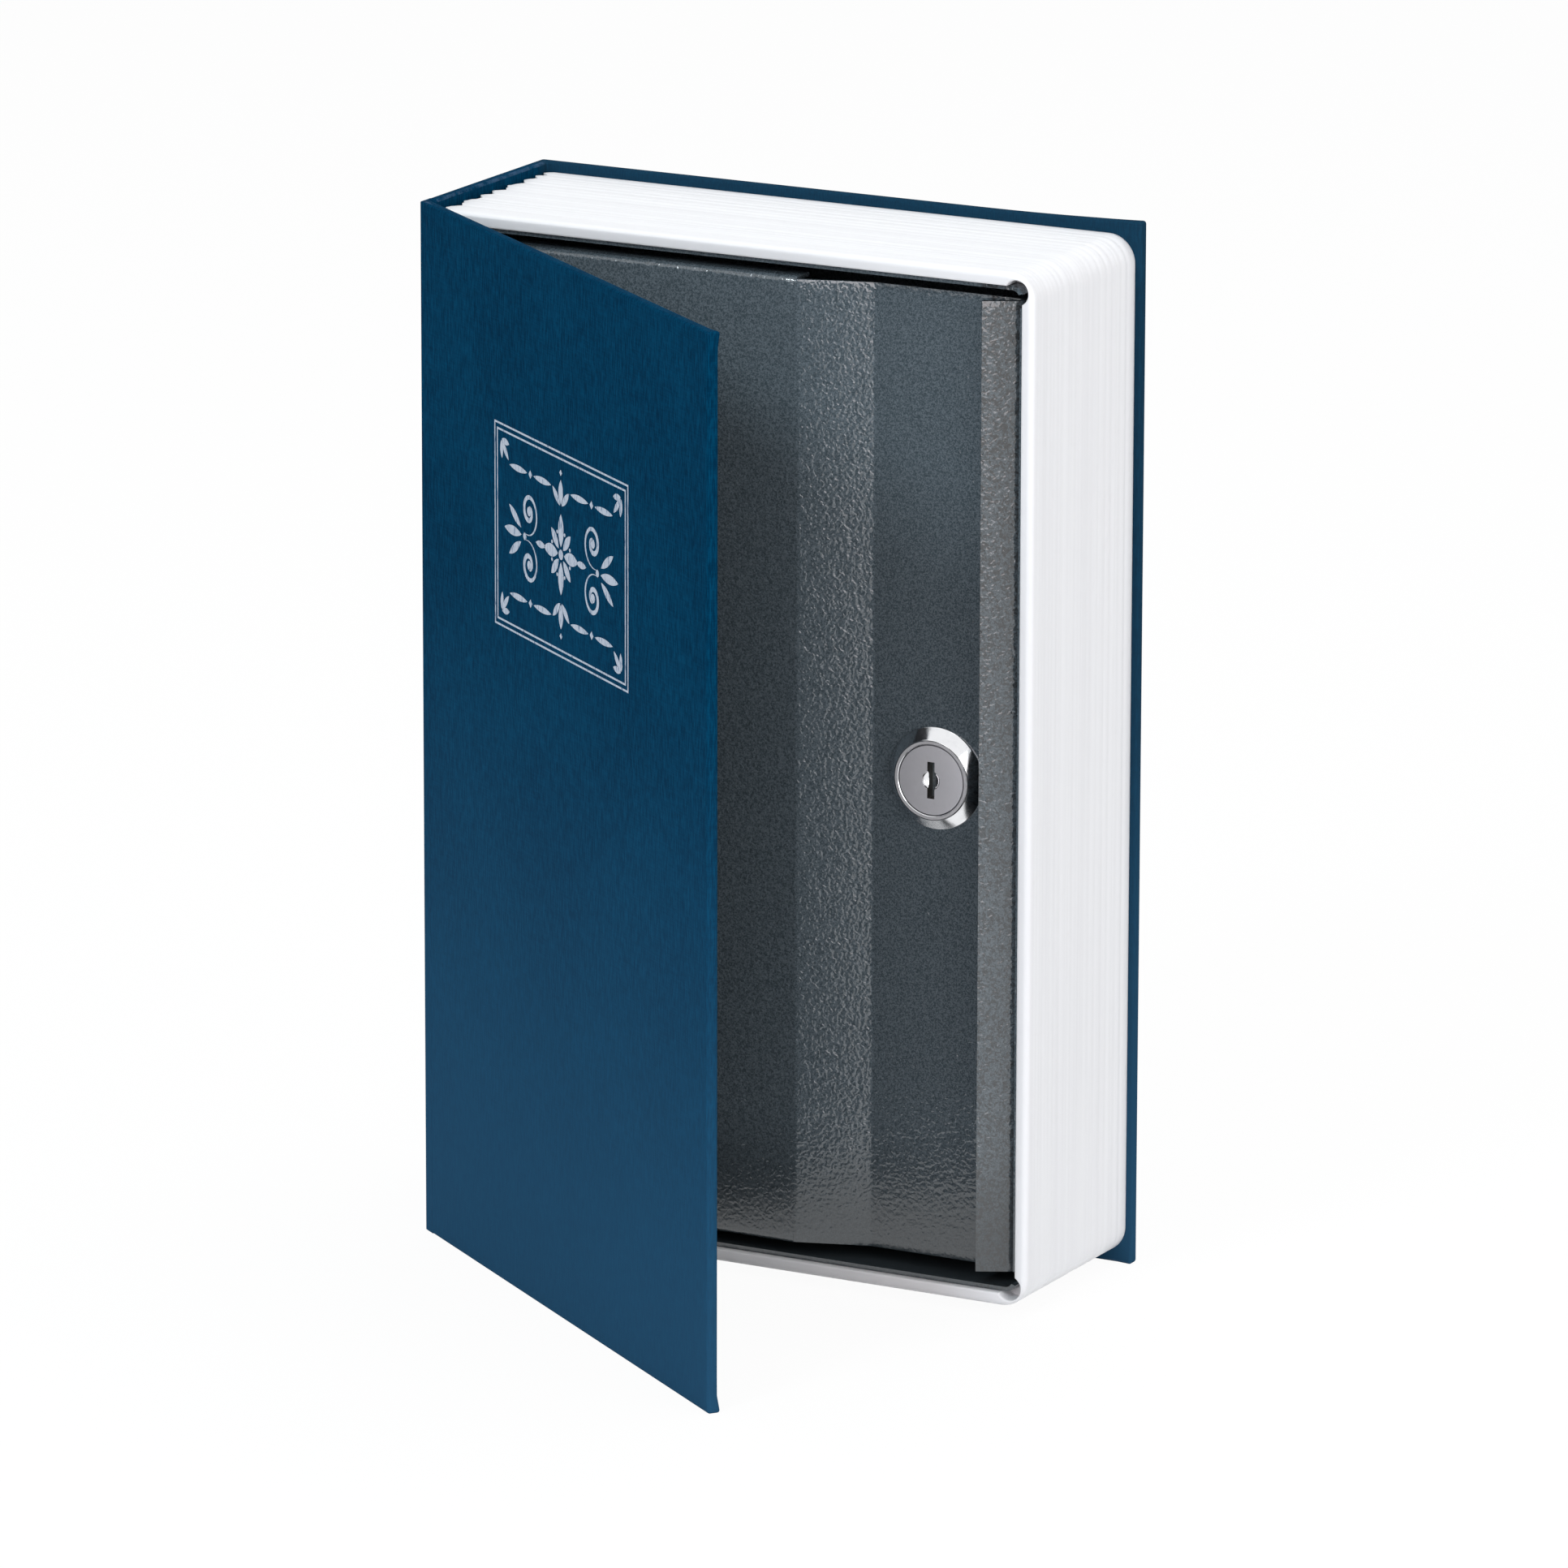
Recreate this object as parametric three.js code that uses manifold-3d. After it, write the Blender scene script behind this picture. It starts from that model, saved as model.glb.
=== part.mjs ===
// A book diversion safe: a hard book case around a white moulded page block that
// hides a steel box with an inset door and a cam lock. Millimetres, +Z up.
// It stands as a book does, spine at -X, front cover at -Y, ajar by COVER_AJAR.
import * as THREE from 'three';
import { mergeVertices } from 'three/addons/utils/BufferGeometryUtils.js';
import Module from 'manifold-3d';

const wasm = await Module();
wasm.setup();

// Book case: greyboards covered with cloth that is turned in round their edges
const BOOK_HEIGHT = 240;
const BOOK_WIDTH = 154;
const BOOK_THICKNESS = 55.5;
const BOARD_THICKNESS = 1.9;
const CLOTH_THICKNESS = 0.25;
const ENDPAPER_THICKNESS = 0.15;
const GLUE_LINE = 0.1;
const TURN_IN = 14;
const SPINE_LAP = 3.5;
const ENDPAPER_MARGIN = 4;
const SPINE_CLEARANCE = 0.2;
const CREASE_RADIUS = 0.3;
const CREASE_CLEARANCE = 0.3;
const COVER_AJAR = 36.7;

// Page block: a moulded frame, toothed on the spine side like sewn sheets
const HEAD_SQUARE = 2.3;
const FORE_SQUARE = 1.6;
const PAGE_WALL = 3;
const SPINE_WALL = 4.2;
const TOOTH_DEPTH = 2;
const SHEET_BUNDLES = [7.4, 9.4, 5.2, 5.6, 8.8, 6, 4.4, 3.2];
const BUNDLE_OUTLINE = [[0, 1], [0.2, 0.45], [0.3, 0.5], [0.42, 0.06], [0.52, 0], [0.96, 0.85]];
const PAGE_CORNER_RADIUS = 6.5;
const PAGE_EDGE_RADIUS = 1.4;
const PAGE_GROOVE_PITCH = 4.1;
const PAGE_GROOVE_DEPTH = 0.35;
const PAGE_GROOVE_WIDTH = 1.1;
const CORNER_RELIEF_RADIUS = 2.85;
const CORNER_RELIEF_DEPTH = 5;
const CORNER_RELIEF_IN = 1.25;
const CORNER_RELIEF_DOWN = 1.3;
const COVER_TO_PAGES = 0.35;
const BOX_FIT = 0.1;

// Steel box that the page frame goes round
const BOX_SHEET = 1;
const BOX_CORNER_RADIUS = 3;
const BOX_SET_BACK = 1.6;
const BOX_NOTCH_RADIUS = 1.6;
const BOX_NOTCH_DEPTH = 4;
const BOX_NOTCH_DOWN = 3.3;

// Door: one pressed sheet with a sunk strip for the lock and a hooked pull
const DOOR_SHEET = 1;
const DOOR_PROUD = 0.2;
const DOOR_END_GAP = 2.4;
const DOOR_SIDE_GAP = 1.5;
const DOOR_FREE_GAP = 1;
const FLANGE_DEPTH = 6.5;
const FLANGE_STEP = 0.5;
const FLANGE_BEND_RADIUS = 1.5;
const FLANGE_TRIM = 3;
const FLANGE_LAP = 4.5;
const RETURN_DEPTH = 5;
const RECESS_DEPTH = 5.4;
const RECESS_WIDTH = 37.5;
const RAMP_WIDTH = 16.5;
const RAMP_BEND_RADIUS = 3;
const PULL_WIDTH = 8.3;
const PULL_PROUD = 1;
const PULL_BACK_BEND = 1.2;
const PULL_FRONT_BEND = 2.1;
const PULL_SLOPE = 27.8;

// Hinge pins, riveted into the box's top and bottom walls
const PIN_RADIUS = 1.25;
const PIN_SHOULDER_RADIUS = 2.6;
const PIN_REACH = 2.8;
const PIN_INSET = 3;
const PIN_DEPTH = 2.4;
const RUNNING_CLEARANCE = 0.25;
const SEAT_CLEARANCE = 0.05;
const AXIAL_CLEARANCE = 0.3;

// Cam lock in the sunk strip, plug shown with its key slot upright
const LOCK_TO_PULL = 13.3;
const BEZEL_HEIGHT = 2.8;
const BEZEL_FACE_RADIUS = 9.1;
const BEZEL_BASE_RADIUS = 11.7;
const BEZEL_RIM = 0.35;
const BARREL_RADIUS = 9;
const BARREL_FLAT = 7.9;
const BARREL_LENGTH = 16;
const PLUG_FACE_RADIUS = 7.9;
const PLUG_FACE_THICKNESS = 1.3;
const PLUG_FACE_SINK = 0.12;
const PLUG_RADIUS = 6.2;
const PLUG_OVERHANG = 0.35;
const KEY_SLOT_WIDTH = 1.8;
const KEY_SLOT_HEIGHT = 8.4;
const KEY_SLOT_DEPTH = 13;
const KEY_DISH_RADIUS = 2.1;
const KEY_DISH_FLOOR_RADIUS = 1.26;
const KEY_DISH_DEPTH = 0.7;
const WAFER_COUNT = 5;
const WAFER_THICKNESS = 0.6;
const WAFER_WIDTH = 7.2;
const WAFER_PITCH = 2.1;
const WAFER_START = 3;
const WAFER_WINDOW_WIDTH = 2.4;
const WAFER_WINDOW_HEIGHT = 6.7;
const WAFER_CLEARANCE = 0.1;
const TANG_SIDE = 8;
const CAM_THICKNESS = 2;
const CAM_REACH = 19;
const CAM_HUB_RADIUS = 7.5;
const CAM_TIP_RADIUS = 4.8;
const CAM_SCREW_RADIUS = 2;
const CAM_SCREW_HEAD_RADIUS = 4;
const CAM_SCREW_HEAD = 2.2;
const CAM_SCREW_LENGTH = 7;
const CAM_SCREW_TOP_RADIUS = 2.8;
const CAM_SCREW_SLOT = 0.8;
const CAM_WASHER_RADIUS = 6;
const CAM_WASHER_THICKNESS = 0.8;
const NUT_ACROSS_FLATS = 22;
const NUT_THICKNESS = 3.5;
const NUT_CHAMFER = 0.7;
const LOCK_WASHER_RADIUS = 12.5;
const LOCK_WASHER_THICKNESS = 1;

// Keeper: a bracket spot-welded inside the box that the cam turns in behind
const KEEPER_SHEET = 1.5;
const KEEPER_HEIGHT = 24;
const KEEPER_BASE = 12;
const KEEPER_OVERLAP = 4.2;

const TURNED_SIDES = 36;
const SMALL_SIDES = 20;
const BEND_STEPS = 5;
const LEAST_STRAIGHT = 0.05;
const OVERCUT = 1;

// Places that follow from the sizes above, from the spine and cover's outer corner
const coverThickness = 2 * CLOTH_THICKNESS + 2 * GLUE_LINE + BOARD_THICKNESS;
const boardDepth = CLOTH_THICKNESS + GLUE_LINE;
const linedThickness = coverThickness + GLUE_LINE + ENDPAPER_THICKNESS;
const pages = {
  x0: coverThickness + SPINE_CLEARANCE,
  x1: BOOK_WIDTH - FORE_SQUARE,
  y0: linedThickness + COVER_TO_PAGES,
  y1: BOOK_THICKNESS - coverThickness - GLUE_LINE,
  z0: HEAD_SQUARE,
  z1: BOOK_HEIGHT - HEAD_SQUARE,
};
const box = {
  x0: pages.x0 + SPINE_WALL + BOX_FIT,
  x1: pages.x1 - PAGE_WALL - BOX_FIT,
  y0: pages.y0 + BOX_SET_BACK,
  y1: pages.y1,
  z0: pages.z0 + PAGE_WALL + BOX_FIT,
  z1: pages.z1 - PAGE_WALL - BOX_FIT,
};
const door = {
  x0: box.x0 + BOX_SHEET + DOOR_SIDE_GAP,
  x1: box.x1 - BOX_SHEET - DOOR_FREE_GAP,
  y: box.y0 - DOOR_PROUD,
  z0: box.z0 + BOX_SHEET + DOOR_END_GAP,
  z1: box.z1 - BOX_SHEET - DOOR_END_GAP,
};
const pivot = { x: door.x0 + PIN_INSET, y: door.y + PIN_DEPTH };
const recessY = door.y + RECESS_DEPTH;
const pullX = door.x1 - PULL_WIDTH;
const lock = {
  x: pullX - LOCK_TO_PULL,
  z: BOOK_HEIGHT / 2,
  face: recessY - BEZEL_HEIGHT,
  barrelEnd: recessY + BARREL_LENGTH,
};
const camFront = lock.barrelEnd + PLUG_OVERHANG;

// Closed solids from three.js geometry

function signedVolume(position, index) {
  const corner = [new THREE.Vector3(), new THREE.Vector3(), new THREE.Vector3()];
  let volume = 0;
  for (let i = 0; i < index.length; i += 3) {
    corner.forEach((point, k) => point.fromArray(position, 3 * index[i + k]));
    volume += corner[0].dot(corner[1].clone().cross(corner[2])) / 6;
  }
  return volume;
}

function solid(geometry) {
  const bare = geometry.clone();
  bare.deleteAttribute('normal');
  bare.deleteAttribute('uv');
  const merged = mergeVertices(bare, 1e-4);
  const position = merged.attributes.position.array;
  const index = [];
  const all = merged.index.array;
  for (let i = 0; i < all.length; i += 3) {
    const [a, b, c] = [all[i], all[i + 1], all[i + 2]];
    if (a !== b && b !== c && c !== a) index.push(a, b, c);
  }
  if (signedVolume(position, index) < 0) index.reverse();
  return new wasm.Manifold(new wasm.Mesh({
    numProp: 3,
    vertProperties: Float32Array.from(position),
    triVerts: Uint32Array.from(index),
  }));
}

function geometryOf(shape) {
  const mesh = shape.getMesh();
  const geometry = new THREE.BufferGeometry();
  geometry.setAttribute('position', new THREE.BufferAttribute(mesh.vertProperties, 3));
  geometry.setIndex(new THREE.BufferAttribute(mesh.triVerts, 1));
  return geometry;
}

function block(x0, x1, y0, y1, z0, z1) {
  const geometry = new THREE.BoxGeometry(x1 - x0, y1 - y0, z1 - z0);
  geometry.translate((x0 + x1) / 2, (y0 + y1) / 2, (z0 + z1) / 2);
  return solid(geometry);
}

// Outline in X and Y, raised along Z
function prismZ(shape, z0, z1) {
  const geometry = new THREE.ExtrudeGeometry(shape, {
    depth: z1 - z0,
    bevelEnabled: false,
    curveSegments: BEND_STEPS,
  });
  geometry.translate(0, 0, z0);
  return solid(geometry);
}

// Outline in X and Z, from y0 back to y1
function prismY(shape, y0, y1, curveSegments = BEND_STEPS) {
  const geometry = new THREE.ExtrudeGeometry(shape, {
    depth: y1 - y0,
    bevelEnabled: false,
    curveSegments,
  });
  geometry.applyMatrix4(new THREE.Matrix4().makeBasis(
    new THREE.Vector3(1, 0, 0),
    new THREE.Vector3(0, 0, 1),
    new THREE.Vector3(0, -1, 0),
  ));
  geometry.translate(0, y1, 0);
  return solid(geometry);
}

// Outline in Y and Z, from x0 across to x1
function prismX(shape, x0, x1) {
  const geometry = new THREE.ExtrudeGeometry(shape, {
    depth: x1 - x0,
    bevelEnabled: false,
    curveSegments: BEND_STEPS,
  });
  geometry.applyMatrix4(new THREE.Matrix4().makeBasis(
    new THREE.Vector3(0, 1, 0),
    new THREE.Vector3(0, 0, 1),
    new THREE.Vector3(1, 0, 0),
  ));
  geometry.translate(x0, 0, 0);
  return solid(geometry);
}

// Profile of [radius, distance] turned round the lock's axis, which runs along Y
function turnedY(profile, x, z, sides = TURNED_SIDES) {
  const points = profile.map(([radius, y]) => new THREE.Vector2(radius, y));
  const geometry = new THREE.LatheGeometry(points, sides);
  geometry.translate(x, 0, z);
  return solid(geometry);
}

function discY(radius, y0, y1, x, z, sides = TURNED_SIDES) {
  return turnedY([[0, y0], [radius, y0], [radius, y1], [0, y1]], x, z, sides);
}

function ringY(inner, outer, y0, y1, x, z, sides = TURNED_SIDES) {
  return turnedY([[inner, y0], [outer, y0], [outer, y1], [inner, y1], [inner, y0]], x, z, sides);
}

// Profile of [radius, z] turned round an upright axis
function turnedZ(profile, x, y) {
  const points = profile.map(([radius, z]) => new THREE.Vector2(radius, z));
  const geometry = new THREE.LatheGeometry(points, SMALL_SIDES);
  geometry.rotateX(Math.PI / 2);
  geometry.translate(x, y, 0);
  return solid(geometry);
}

function roundedRectangle(x0, x1, z0, z1, radius) {
  const shape = new THREE.Shape();
  shape.moveTo(x0 + radius, z0);
  shape.lineTo(x1 - radius, z0);
  shape.absarc(x1 - radius, z0 + radius, radius, -Math.PI / 2, 0);
  shape.lineTo(x1, z1 - radius);
  shape.absarc(x1 - radius, z1 - radius, radius, 0, Math.PI / 2);
  shape.lineTo(x0 + radius, z1);
  shape.absarc(x0 + radius, z1 - radius, radius, Math.PI / 2, Math.PI);
  shape.lineTo(x0, z0 + radius);
  shape.absarc(x0 + radius, z0 + radius, radius, Math.PI, 1.5 * Math.PI);
  return shape;
}

// Corners of [x, y, bend radius] with each radius drawn in where the bends at the two
// ends of a straight stretch would need more than its length
function fittedBends(corners) {
  const reach = corners.map(([x, y, radius], i) => {
    if (!radius) return 0;
    const back = new THREE.Vector2(corners[i - 1][0] - x, corners[i - 1][1] - y);
    const ahead = new THREE.Vector2(corners[i + 1][0] - x, corners[i + 1][1] - y);
    return radius / Math.tan(back.angleTo(ahead) / 2);
  });
  return corners.map(([x, y, radius], i) => {
    if (!radius) return [x, y];
    const shares = [i - 1, i + 1].map((end) => {
      const stretch = Math.hypot(corners[end][0] - x, corners[end][1] - y);
      return (stretch - LEAST_STRAIGHT) / (reach[i] + reach[end]);
    });
    return [x, y, radius * Math.min(1, ...shares)];
  });
}

// Middle line of a bent sheet: corners of [x, y, bend radius], bends as arcs
function bentLine(corners) {
  const line = [];
  fittedBends(corners).forEach(([x, y, radius], i) => {
    const corner = new THREE.Vector2(x, y);
    if (!radius) {
      line.push(corner);
      return;
    }
    const [previous, next] = [corners[i - 1], corners[i + 1]];
    const back = new THREE.Vector2(previous[0] - x, previous[1] - y).normalize();
    const ahead = new THREE.Vector2(next[0] - x, next[1] - y).normalize();
    const half = Math.acos(back.dot(ahead)) / 2;
    const inward = back.clone().add(ahead).normalize();
    const centre = corner.clone().addScaledVector(inward, radius / Math.sin(half));
    const first = corner.clone().addScaledVector(back, radius / Math.tan(half)).sub(centre);
    const turn = Math.sign(ahead.cross(back)) * (Math.PI - 2 * half);
    for (let step = 0; step <= BEND_STEPS; step += 1) {
      const arm = first.clone().rotateAround(new THREE.Vector2(), turn * step / BEND_STEPS);
      line.push(centre.clone().add(arm));
    }
  });
  return line;
}

// Closed outline of a sheet of one thickness that follows a middle line
function sheetOutline(line, thickness) {
  const sides = [[], []];
  line.forEach((point, i) => {
    const before = line[Math.max(i - 1, 0)];
    const after = line[Math.min(i + 1, line.length - 1)];
    const arriving = point.clone().sub(before);
    const leaving = after.clone().sub(point);
    if (i === 0) arriving.copy(leaving);
    if (i === line.length - 1) leaving.copy(arriving);
    arriving.normalize();
    leaving.normalize();
    const along = arriving.clone().add(leaving).normalize();
    const reach = thickness / 2 / along.dot(leaving);
    const across = new THREE.Vector2(-along.y, along.x);
    sides[0].push(point.clone().addScaledVector(across, reach));
    sides[1].unshift(point.clone().addScaledVector(across, -reach));
  });
  return new THREE.Shape([...sides[0], ...sides[1]]);
}

// Book case

function boardPocket(x0, x1, y0, y1) {
  return block(x0, x1, y0, y1, CLOTH_THICKNESS, BOOK_HEIGHT - CLOTH_THICKNESS);
}

function board(x0, x1, y0, y1) {
  return block(x0, x1, y0, y1, boardDepth, BOOK_HEIGHT - boardDepth);
}

const backInside = BOOK_THICKNESS - coverThickness;
const spineFront = coverThickness + SPINE_CLEARANCE;

function makeSpineBoard() {
  const end = backInside + CLOTH_THICKNESS - GLUE_LINE;
  return board(boardDepth, coverThickness - boardDepth, spineFront + boardDepth, end);
}

function makeBackBoard() {
  const y0 = backInside + boardDepth;
  return board(boardDepth, BOOK_WIDTH - boardDepth, y0, BOOK_THICKNESS - boardDepth);
}

// One sheet of cloth over the spine and the back, turned in at head, tail and fore edge
function makeCaseCloth() {
  const inner = coverThickness - CLOTH_THICKNESS;
  const pocketEnd = BOOK_THICKNESS - CLOTH_THICKNESS;
  const backPocket = backInside + CLOTH_THICKNESS;
  const spine = block(0, coverThickness, spineFront, BOOK_THICKNESS, 0, BOOK_HEIGHT);
  const back = block(0, BOOK_WIDTH, backInside, BOOK_THICKNESS, 0, BOOK_HEIGHT);
  const spineWindow = block(inner - OVERCUT, coverThickness + OVERCUT,
    spineFront + SPINE_LAP, backInside - OVERCUT, TURN_IN, BOOK_HEIGHT - TURN_IN);
  const backWindow = block(coverThickness + OVERCUT, BOOK_WIDTH - TURN_IN,
    backInside - OVERCUT, backPocket + OVERCUT, TURN_IN, BOOK_HEIGHT - TURN_IN);
  return spine.add(back)
    .subtract(boardPocket(CLOTH_THICKNESS, inner, spineFront + CLOTH_THICKNESS, pocketEnd))
    .subtract(boardPocket(CLOTH_THICKNESS, BOOK_WIDTH - CLOTH_THICKNESS, backPocket, pocketEnd))
    .subtract(spineWindow)
    .subtract(backWindow);
}

const coverStart = CREASE_RADIUS + CREASE_CLEARANCE;

function makeFrontBoard() {
  return board(coverStart + boardDepth, BOOK_WIDTH - boardDepth,
    boardDepth, coverThickness - boardDepth);
}

function makeFrontCloth() {
  const window = block(coverStart + ENDPAPER_MARGIN, BOOK_WIDTH - TURN_IN,
    coverThickness - CLOTH_THICKNESS - OVERCUT, coverThickness + OVERCUT,
    TURN_IN, BOOK_HEIGHT - TURN_IN);
  return block(coverStart, BOOK_WIDTH, 0, coverThickness, 0, BOOK_HEIGHT)
    .subtract(boardPocket(coverStart + CLOTH_THICKNESS, BOOK_WIDTH - CLOTH_THICKNESS,
      CLOTH_THICKNESS, coverThickness - CLOTH_THICKNESS))
    .subtract(window);
}

// The pasted-down paper hides the turned-in cloth to within a small margin
function makeEndpaper() {
  return block(coverStart + ENDPAPER_MARGIN / 2, BOOK_WIDTH - ENDPAPER_MARGIN,
    coverThickness + GLUE_LINE, linedThickness, ENDPAPER_MARGIN, BOOK_HEIGHT - ENDPAPER_MARGIN);
}

// A bead of cloth along one fold
function fold(radius, x, y) {
  const profile = [
    [0, GLUE_LINE],
    [radius, GLUE_LINE],
    [radius, BOOK_HEIGHT - GLUE_LINE],
    [0, BOOK_HEIGHT - GLUE_LINE],
  ];
  return turnedZ(profile, x, y);
}

// The crease is the strip of cloth in front of the spine: it folds out on its spine side,
// and the cover turns on its other side
function makeCrease() {
  const half = CLOTH_THICKNESS / 2;
  const spineFold = spineFront - CLOTH_THICKNESS;
  return block(0, CLOTH_THICKNESS, 0, spineFold, GLUE_LINE, BOOK_HEIGHT - GLUE_LINE)
    .add(fold(half, half, spineFold))
    .add(fold(CREASE_RADIUS, 0, 0));
}

// Page block

// Outline of the page block at one depth, drawn in by inset on its three open edges
function pageRing(y, inset) {
  const radius = PAGE_CORNER_RADIUS - inset;
  const [x1, z0, z1] = [pages.x1 - inset, pages.z0 + inset, pages.z1 - inset];
  const left = pages.x0 + TOOTH_DEPTH + BOX_FIT;
  const steps = 2 * BEND_STEPS;
  const ring = [new THREE.Vector3(left, y, z1), new THREE.Vector3(left, y, z0)];
  [[z0 + radius, -Math.PI / 2], [z1 - radius, 0]].forEach(([z, start]) => {
    for (let step = 0; step <= steps; step += 1) {
      const angle = start + (Math.PI / 2) * (step / steps);
      const x = x1 - radius + radius * Math.cos(angle);
      ring.push(new THREE.Vector3(x, y, z + radius * Math.sin(angle)));
    }
  });
  return ring;
}

// Skin through rings of equal point count, with a flat face over each end ring
function loft(rings) {
  const count = rings[0].length;
  const index = [];
  rings.slice(1).forEach((_, row) => {
    for (let i = 0; i < count; i += 1) {
      const next = (i + 1) % count;
      const [a, b] = [row * count + i, row * count + next];
      index.push(a, b, a + count, b, b + count, a + count);
    }
  });
  const last = (rings.length - 1) * count;
  for (let i = 1; i < count - 1; i += 1) {
    index.push(0, i + 1, i);
    index.push(last, last + i, last + i + 1);
  }
  const geometry = new THREE.BufferGeometry().setFromPoints(rings.flat());
  geometry.setIndex(index);
  return solid(geometry);
}

// Depths and insets down the page edges: a rounded front edge, then shallow grooves
function pageRings() {
  const rings = [];
  for (let step = 0; step <= BEND_STEPS; step += 1) {
    const angle = (Math.PI / 2) * (step / BEND_STEPS);
    const y = pages.y0 + PAGE_EDGE_RADIUS * (1 - Math.cos(angle));
    rings.push(pageRing(y, PAGE_EDGE_RADIUS * (1 - Math.sin(angle))));
  }
  const half = PAGE_GROOVE_WIDTH / 2;
  let y = pages.y0 + PAGE_EDGE_RADIUS + PAGE_GROOVE_PITCH / 2;
  while (y + half < pages.y1 - half) {
    rings.push(pageRing(y - half, 0), pageRing(y, PAGE_GROOVE_DEPTH), pageRing(y + half, 0));
    y += PAGE_GROOVE_PITCH;
  }
  rings.push(pageRing(pages.y1, 0));
  return rings;
}

// Bundles of sheets step in and out along the spine. BUNDLE_OUTLINE has one bundle's
// [part of its width, part of the tooth's depth]: a fast rise with a small ledge, a tip
// near the spine, then a slow fall back to the next bundle
function toothedEdge() {
  const total = SHEET_BUNDLES.reduce((sum, width) => sum + width, 0);
  const scale = (pages.y1 - pages.y0) / total;
  const shape = new THREE.Shape();
  const inside = pages.x0 + SPINE_WALL + OVERCUT;
  shape.moveTo(inside, pages.y0);
  let y = pages.y0;
  SHEET_BUNDLES.forEach((share) => {
    const width = share * scale;
    BUNDLE_OUTLINE.forEach(([along, deep]) => {
      shape.lineTo(pages.x0 + TOOTH_DEPTH * deep, y + width * along);
    });
    y += width;
  });
  shape.lineTo(inside, pages.y1);
  return prismZ(shape, pages.z0, pages.z1);
}

function makePageFrame() {
  const hole = roundedRectangle(box.x0 - BOX_FIT, box.x1 + BOX_FIT,
    box.z0 - BOX_FIT, box.z1 + BOX_FIT, BOX_CORNER_RADIUS + BOX_FIT);
  let frame = loft(pageRings()).add(toothedEdge())
    .subtract(prismY(hole, pages.y0 - OVERCUT, pages.y1 + OVERCUT));
  [box.z0 + CORNER_RELIEF_DOWN, box.z1 - CORNER_RELIEF_DOWN].forEach((z) => {
    frame = frame.subtract(discY(CORNER_RELIEF_RADIUS, pages.y0 - OVERCUT,
      pages.y0 + CORNER_RELIEF_DEPTH, box.x1 - CORNER_RELIEF_IN, z));
  });
  return frame;
}

// Steel box

function makeBox() {
  const outer = roundedRectangle(box.x0, box.x1, box.z0, box.z1, BOX_CORNER_RADIUS);
  const inner = roundedRectangle(box.x0 + BOX_SHEET, box.x1 - BOX_SHEET,
    box.z0 + BOX_SHEET, box.z1 - BOX_SHEET, BOX_CORNER_RADIUS - BOX_SHEET);
  const hole = PIN_RADIUS + SEAT_CLEARANCE;
  const bore = [[0, -OVERCUT], [hole, -OVERCUT], [hole, BOOK_HEIGHT], [0, BOOK_HEIGHT]];
  let tray = prismY(outer, box.y0, box.y1)
    .subtract(prismY(inner, box.y0 - OVERCUT, box.y1 - BOX_SHEET))
    .subtract(turnedZ(bore, pivot.x, pivot.y));
  // Round notches that let the fore-edge wall fold up beside the head and tail walls
  [box.z0 + BOX_NOTCH_DOWN, box.z1 - BOX_NOTCH_DOWN].forEach((z) => {
    tray = tray.subtract(discY(BOX_NOTCH_RADIUS, box.y0 - OVERCUT,
      box.y0 + BOX_NOTCH_DEPTH, box.x1 - BOX_SHEET / 2, z, SMALL_SIDES));
  });
  return tray;
}

const keeperBack = camFront - AXIAL_CLEARANCE;

// Angle bracket: its base lies on the fore-edge wall and its lip faces the spine
function makeKeeper() {
  const wall = box.x1 - BOX_SHEET - SEAT_CLEARANCE;
  const lipEnd = lock.x + CAM_REACH - KEEPER_OVERLAP;
  const middle = KEEPER_SHEET / 2;
  const line = bentLine([
    [wall - middle, keeperBack - KEEPER_BASE],
    [wall - middle, keeperBack - middle, KEEPER_SHEET],
    [lipEnd, keeperBack - middle],
  ]);
  return prismZ(sheetOutline(line, KEEPER_SHEET),
    lock.z - KEEPER_HEIGHT / 2, lock.z + KEEPER_HEIGHT / 2);
}

// A shouldered pin: its tenon is riveted in the wall, its journal carries the flange
function makeHingePin(side) {
  const wallOuter = side > 0 ? box.z1 : box.z0;
  const wallInner = wallOuter - side * (BOX_SHEET + SEAT_CLEARANCE);
  const shoulderEnd = (side > 0 ? door.z1 : door.z0) + side * AXIAL_CLEARANCE;
  const profile = [
    [0, wallOuter],
    [PIN_RADIUS, wallOuter],
    [PIN_RADIUS, wallInner],
    [PIN_SHOULDER_RADIUS, wallInner],
    [PIN_SHOULDER_RADIUS, shoulderEnd],
    [PIN_RADIUS, shoulderEnd],
    [PIN_RADIUS, shoulderEnd - side * PIN_REACH],
    [0, shoulderEnd - side * PIN_REACH],
  ];
  return turnedZ(profile, pivot.x, pivot.y);
}

// Door

const rampStart = pullX - (RECESS_WIDTH - PULL_WIDTH) - RAMP_WIDTH;

function doorLine() {
  const half = DOOR_SHEET / 2;
  const slope = Math.tan(THREE.MathUtils.degToRad(PULL_SLOPE));
  const sideX = door.x1 - half;
  const pullY = door.y - PULL_PROUD + half;
  return bentLine([
    [door.x0 + half, door.y + RETURN_DEPTH],
    [door.x0 + half, door.y + half, FLANGE_BEND_RADIUS],
    [rampStart, door.y + half, RAMP_BEND_RADIUS],
    [rampStart + RAMP_WIDTH, recessY + half, RAMP_BEND_RADIUS],
    [sideX, recessY + half, PULL_BACK_BEND],
    [sideX, pullY + slope * (sideX - pullX - half), PULL_FRONT_BEND],
    [pullX + half * slope, pullY],
  ]);
}

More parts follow.
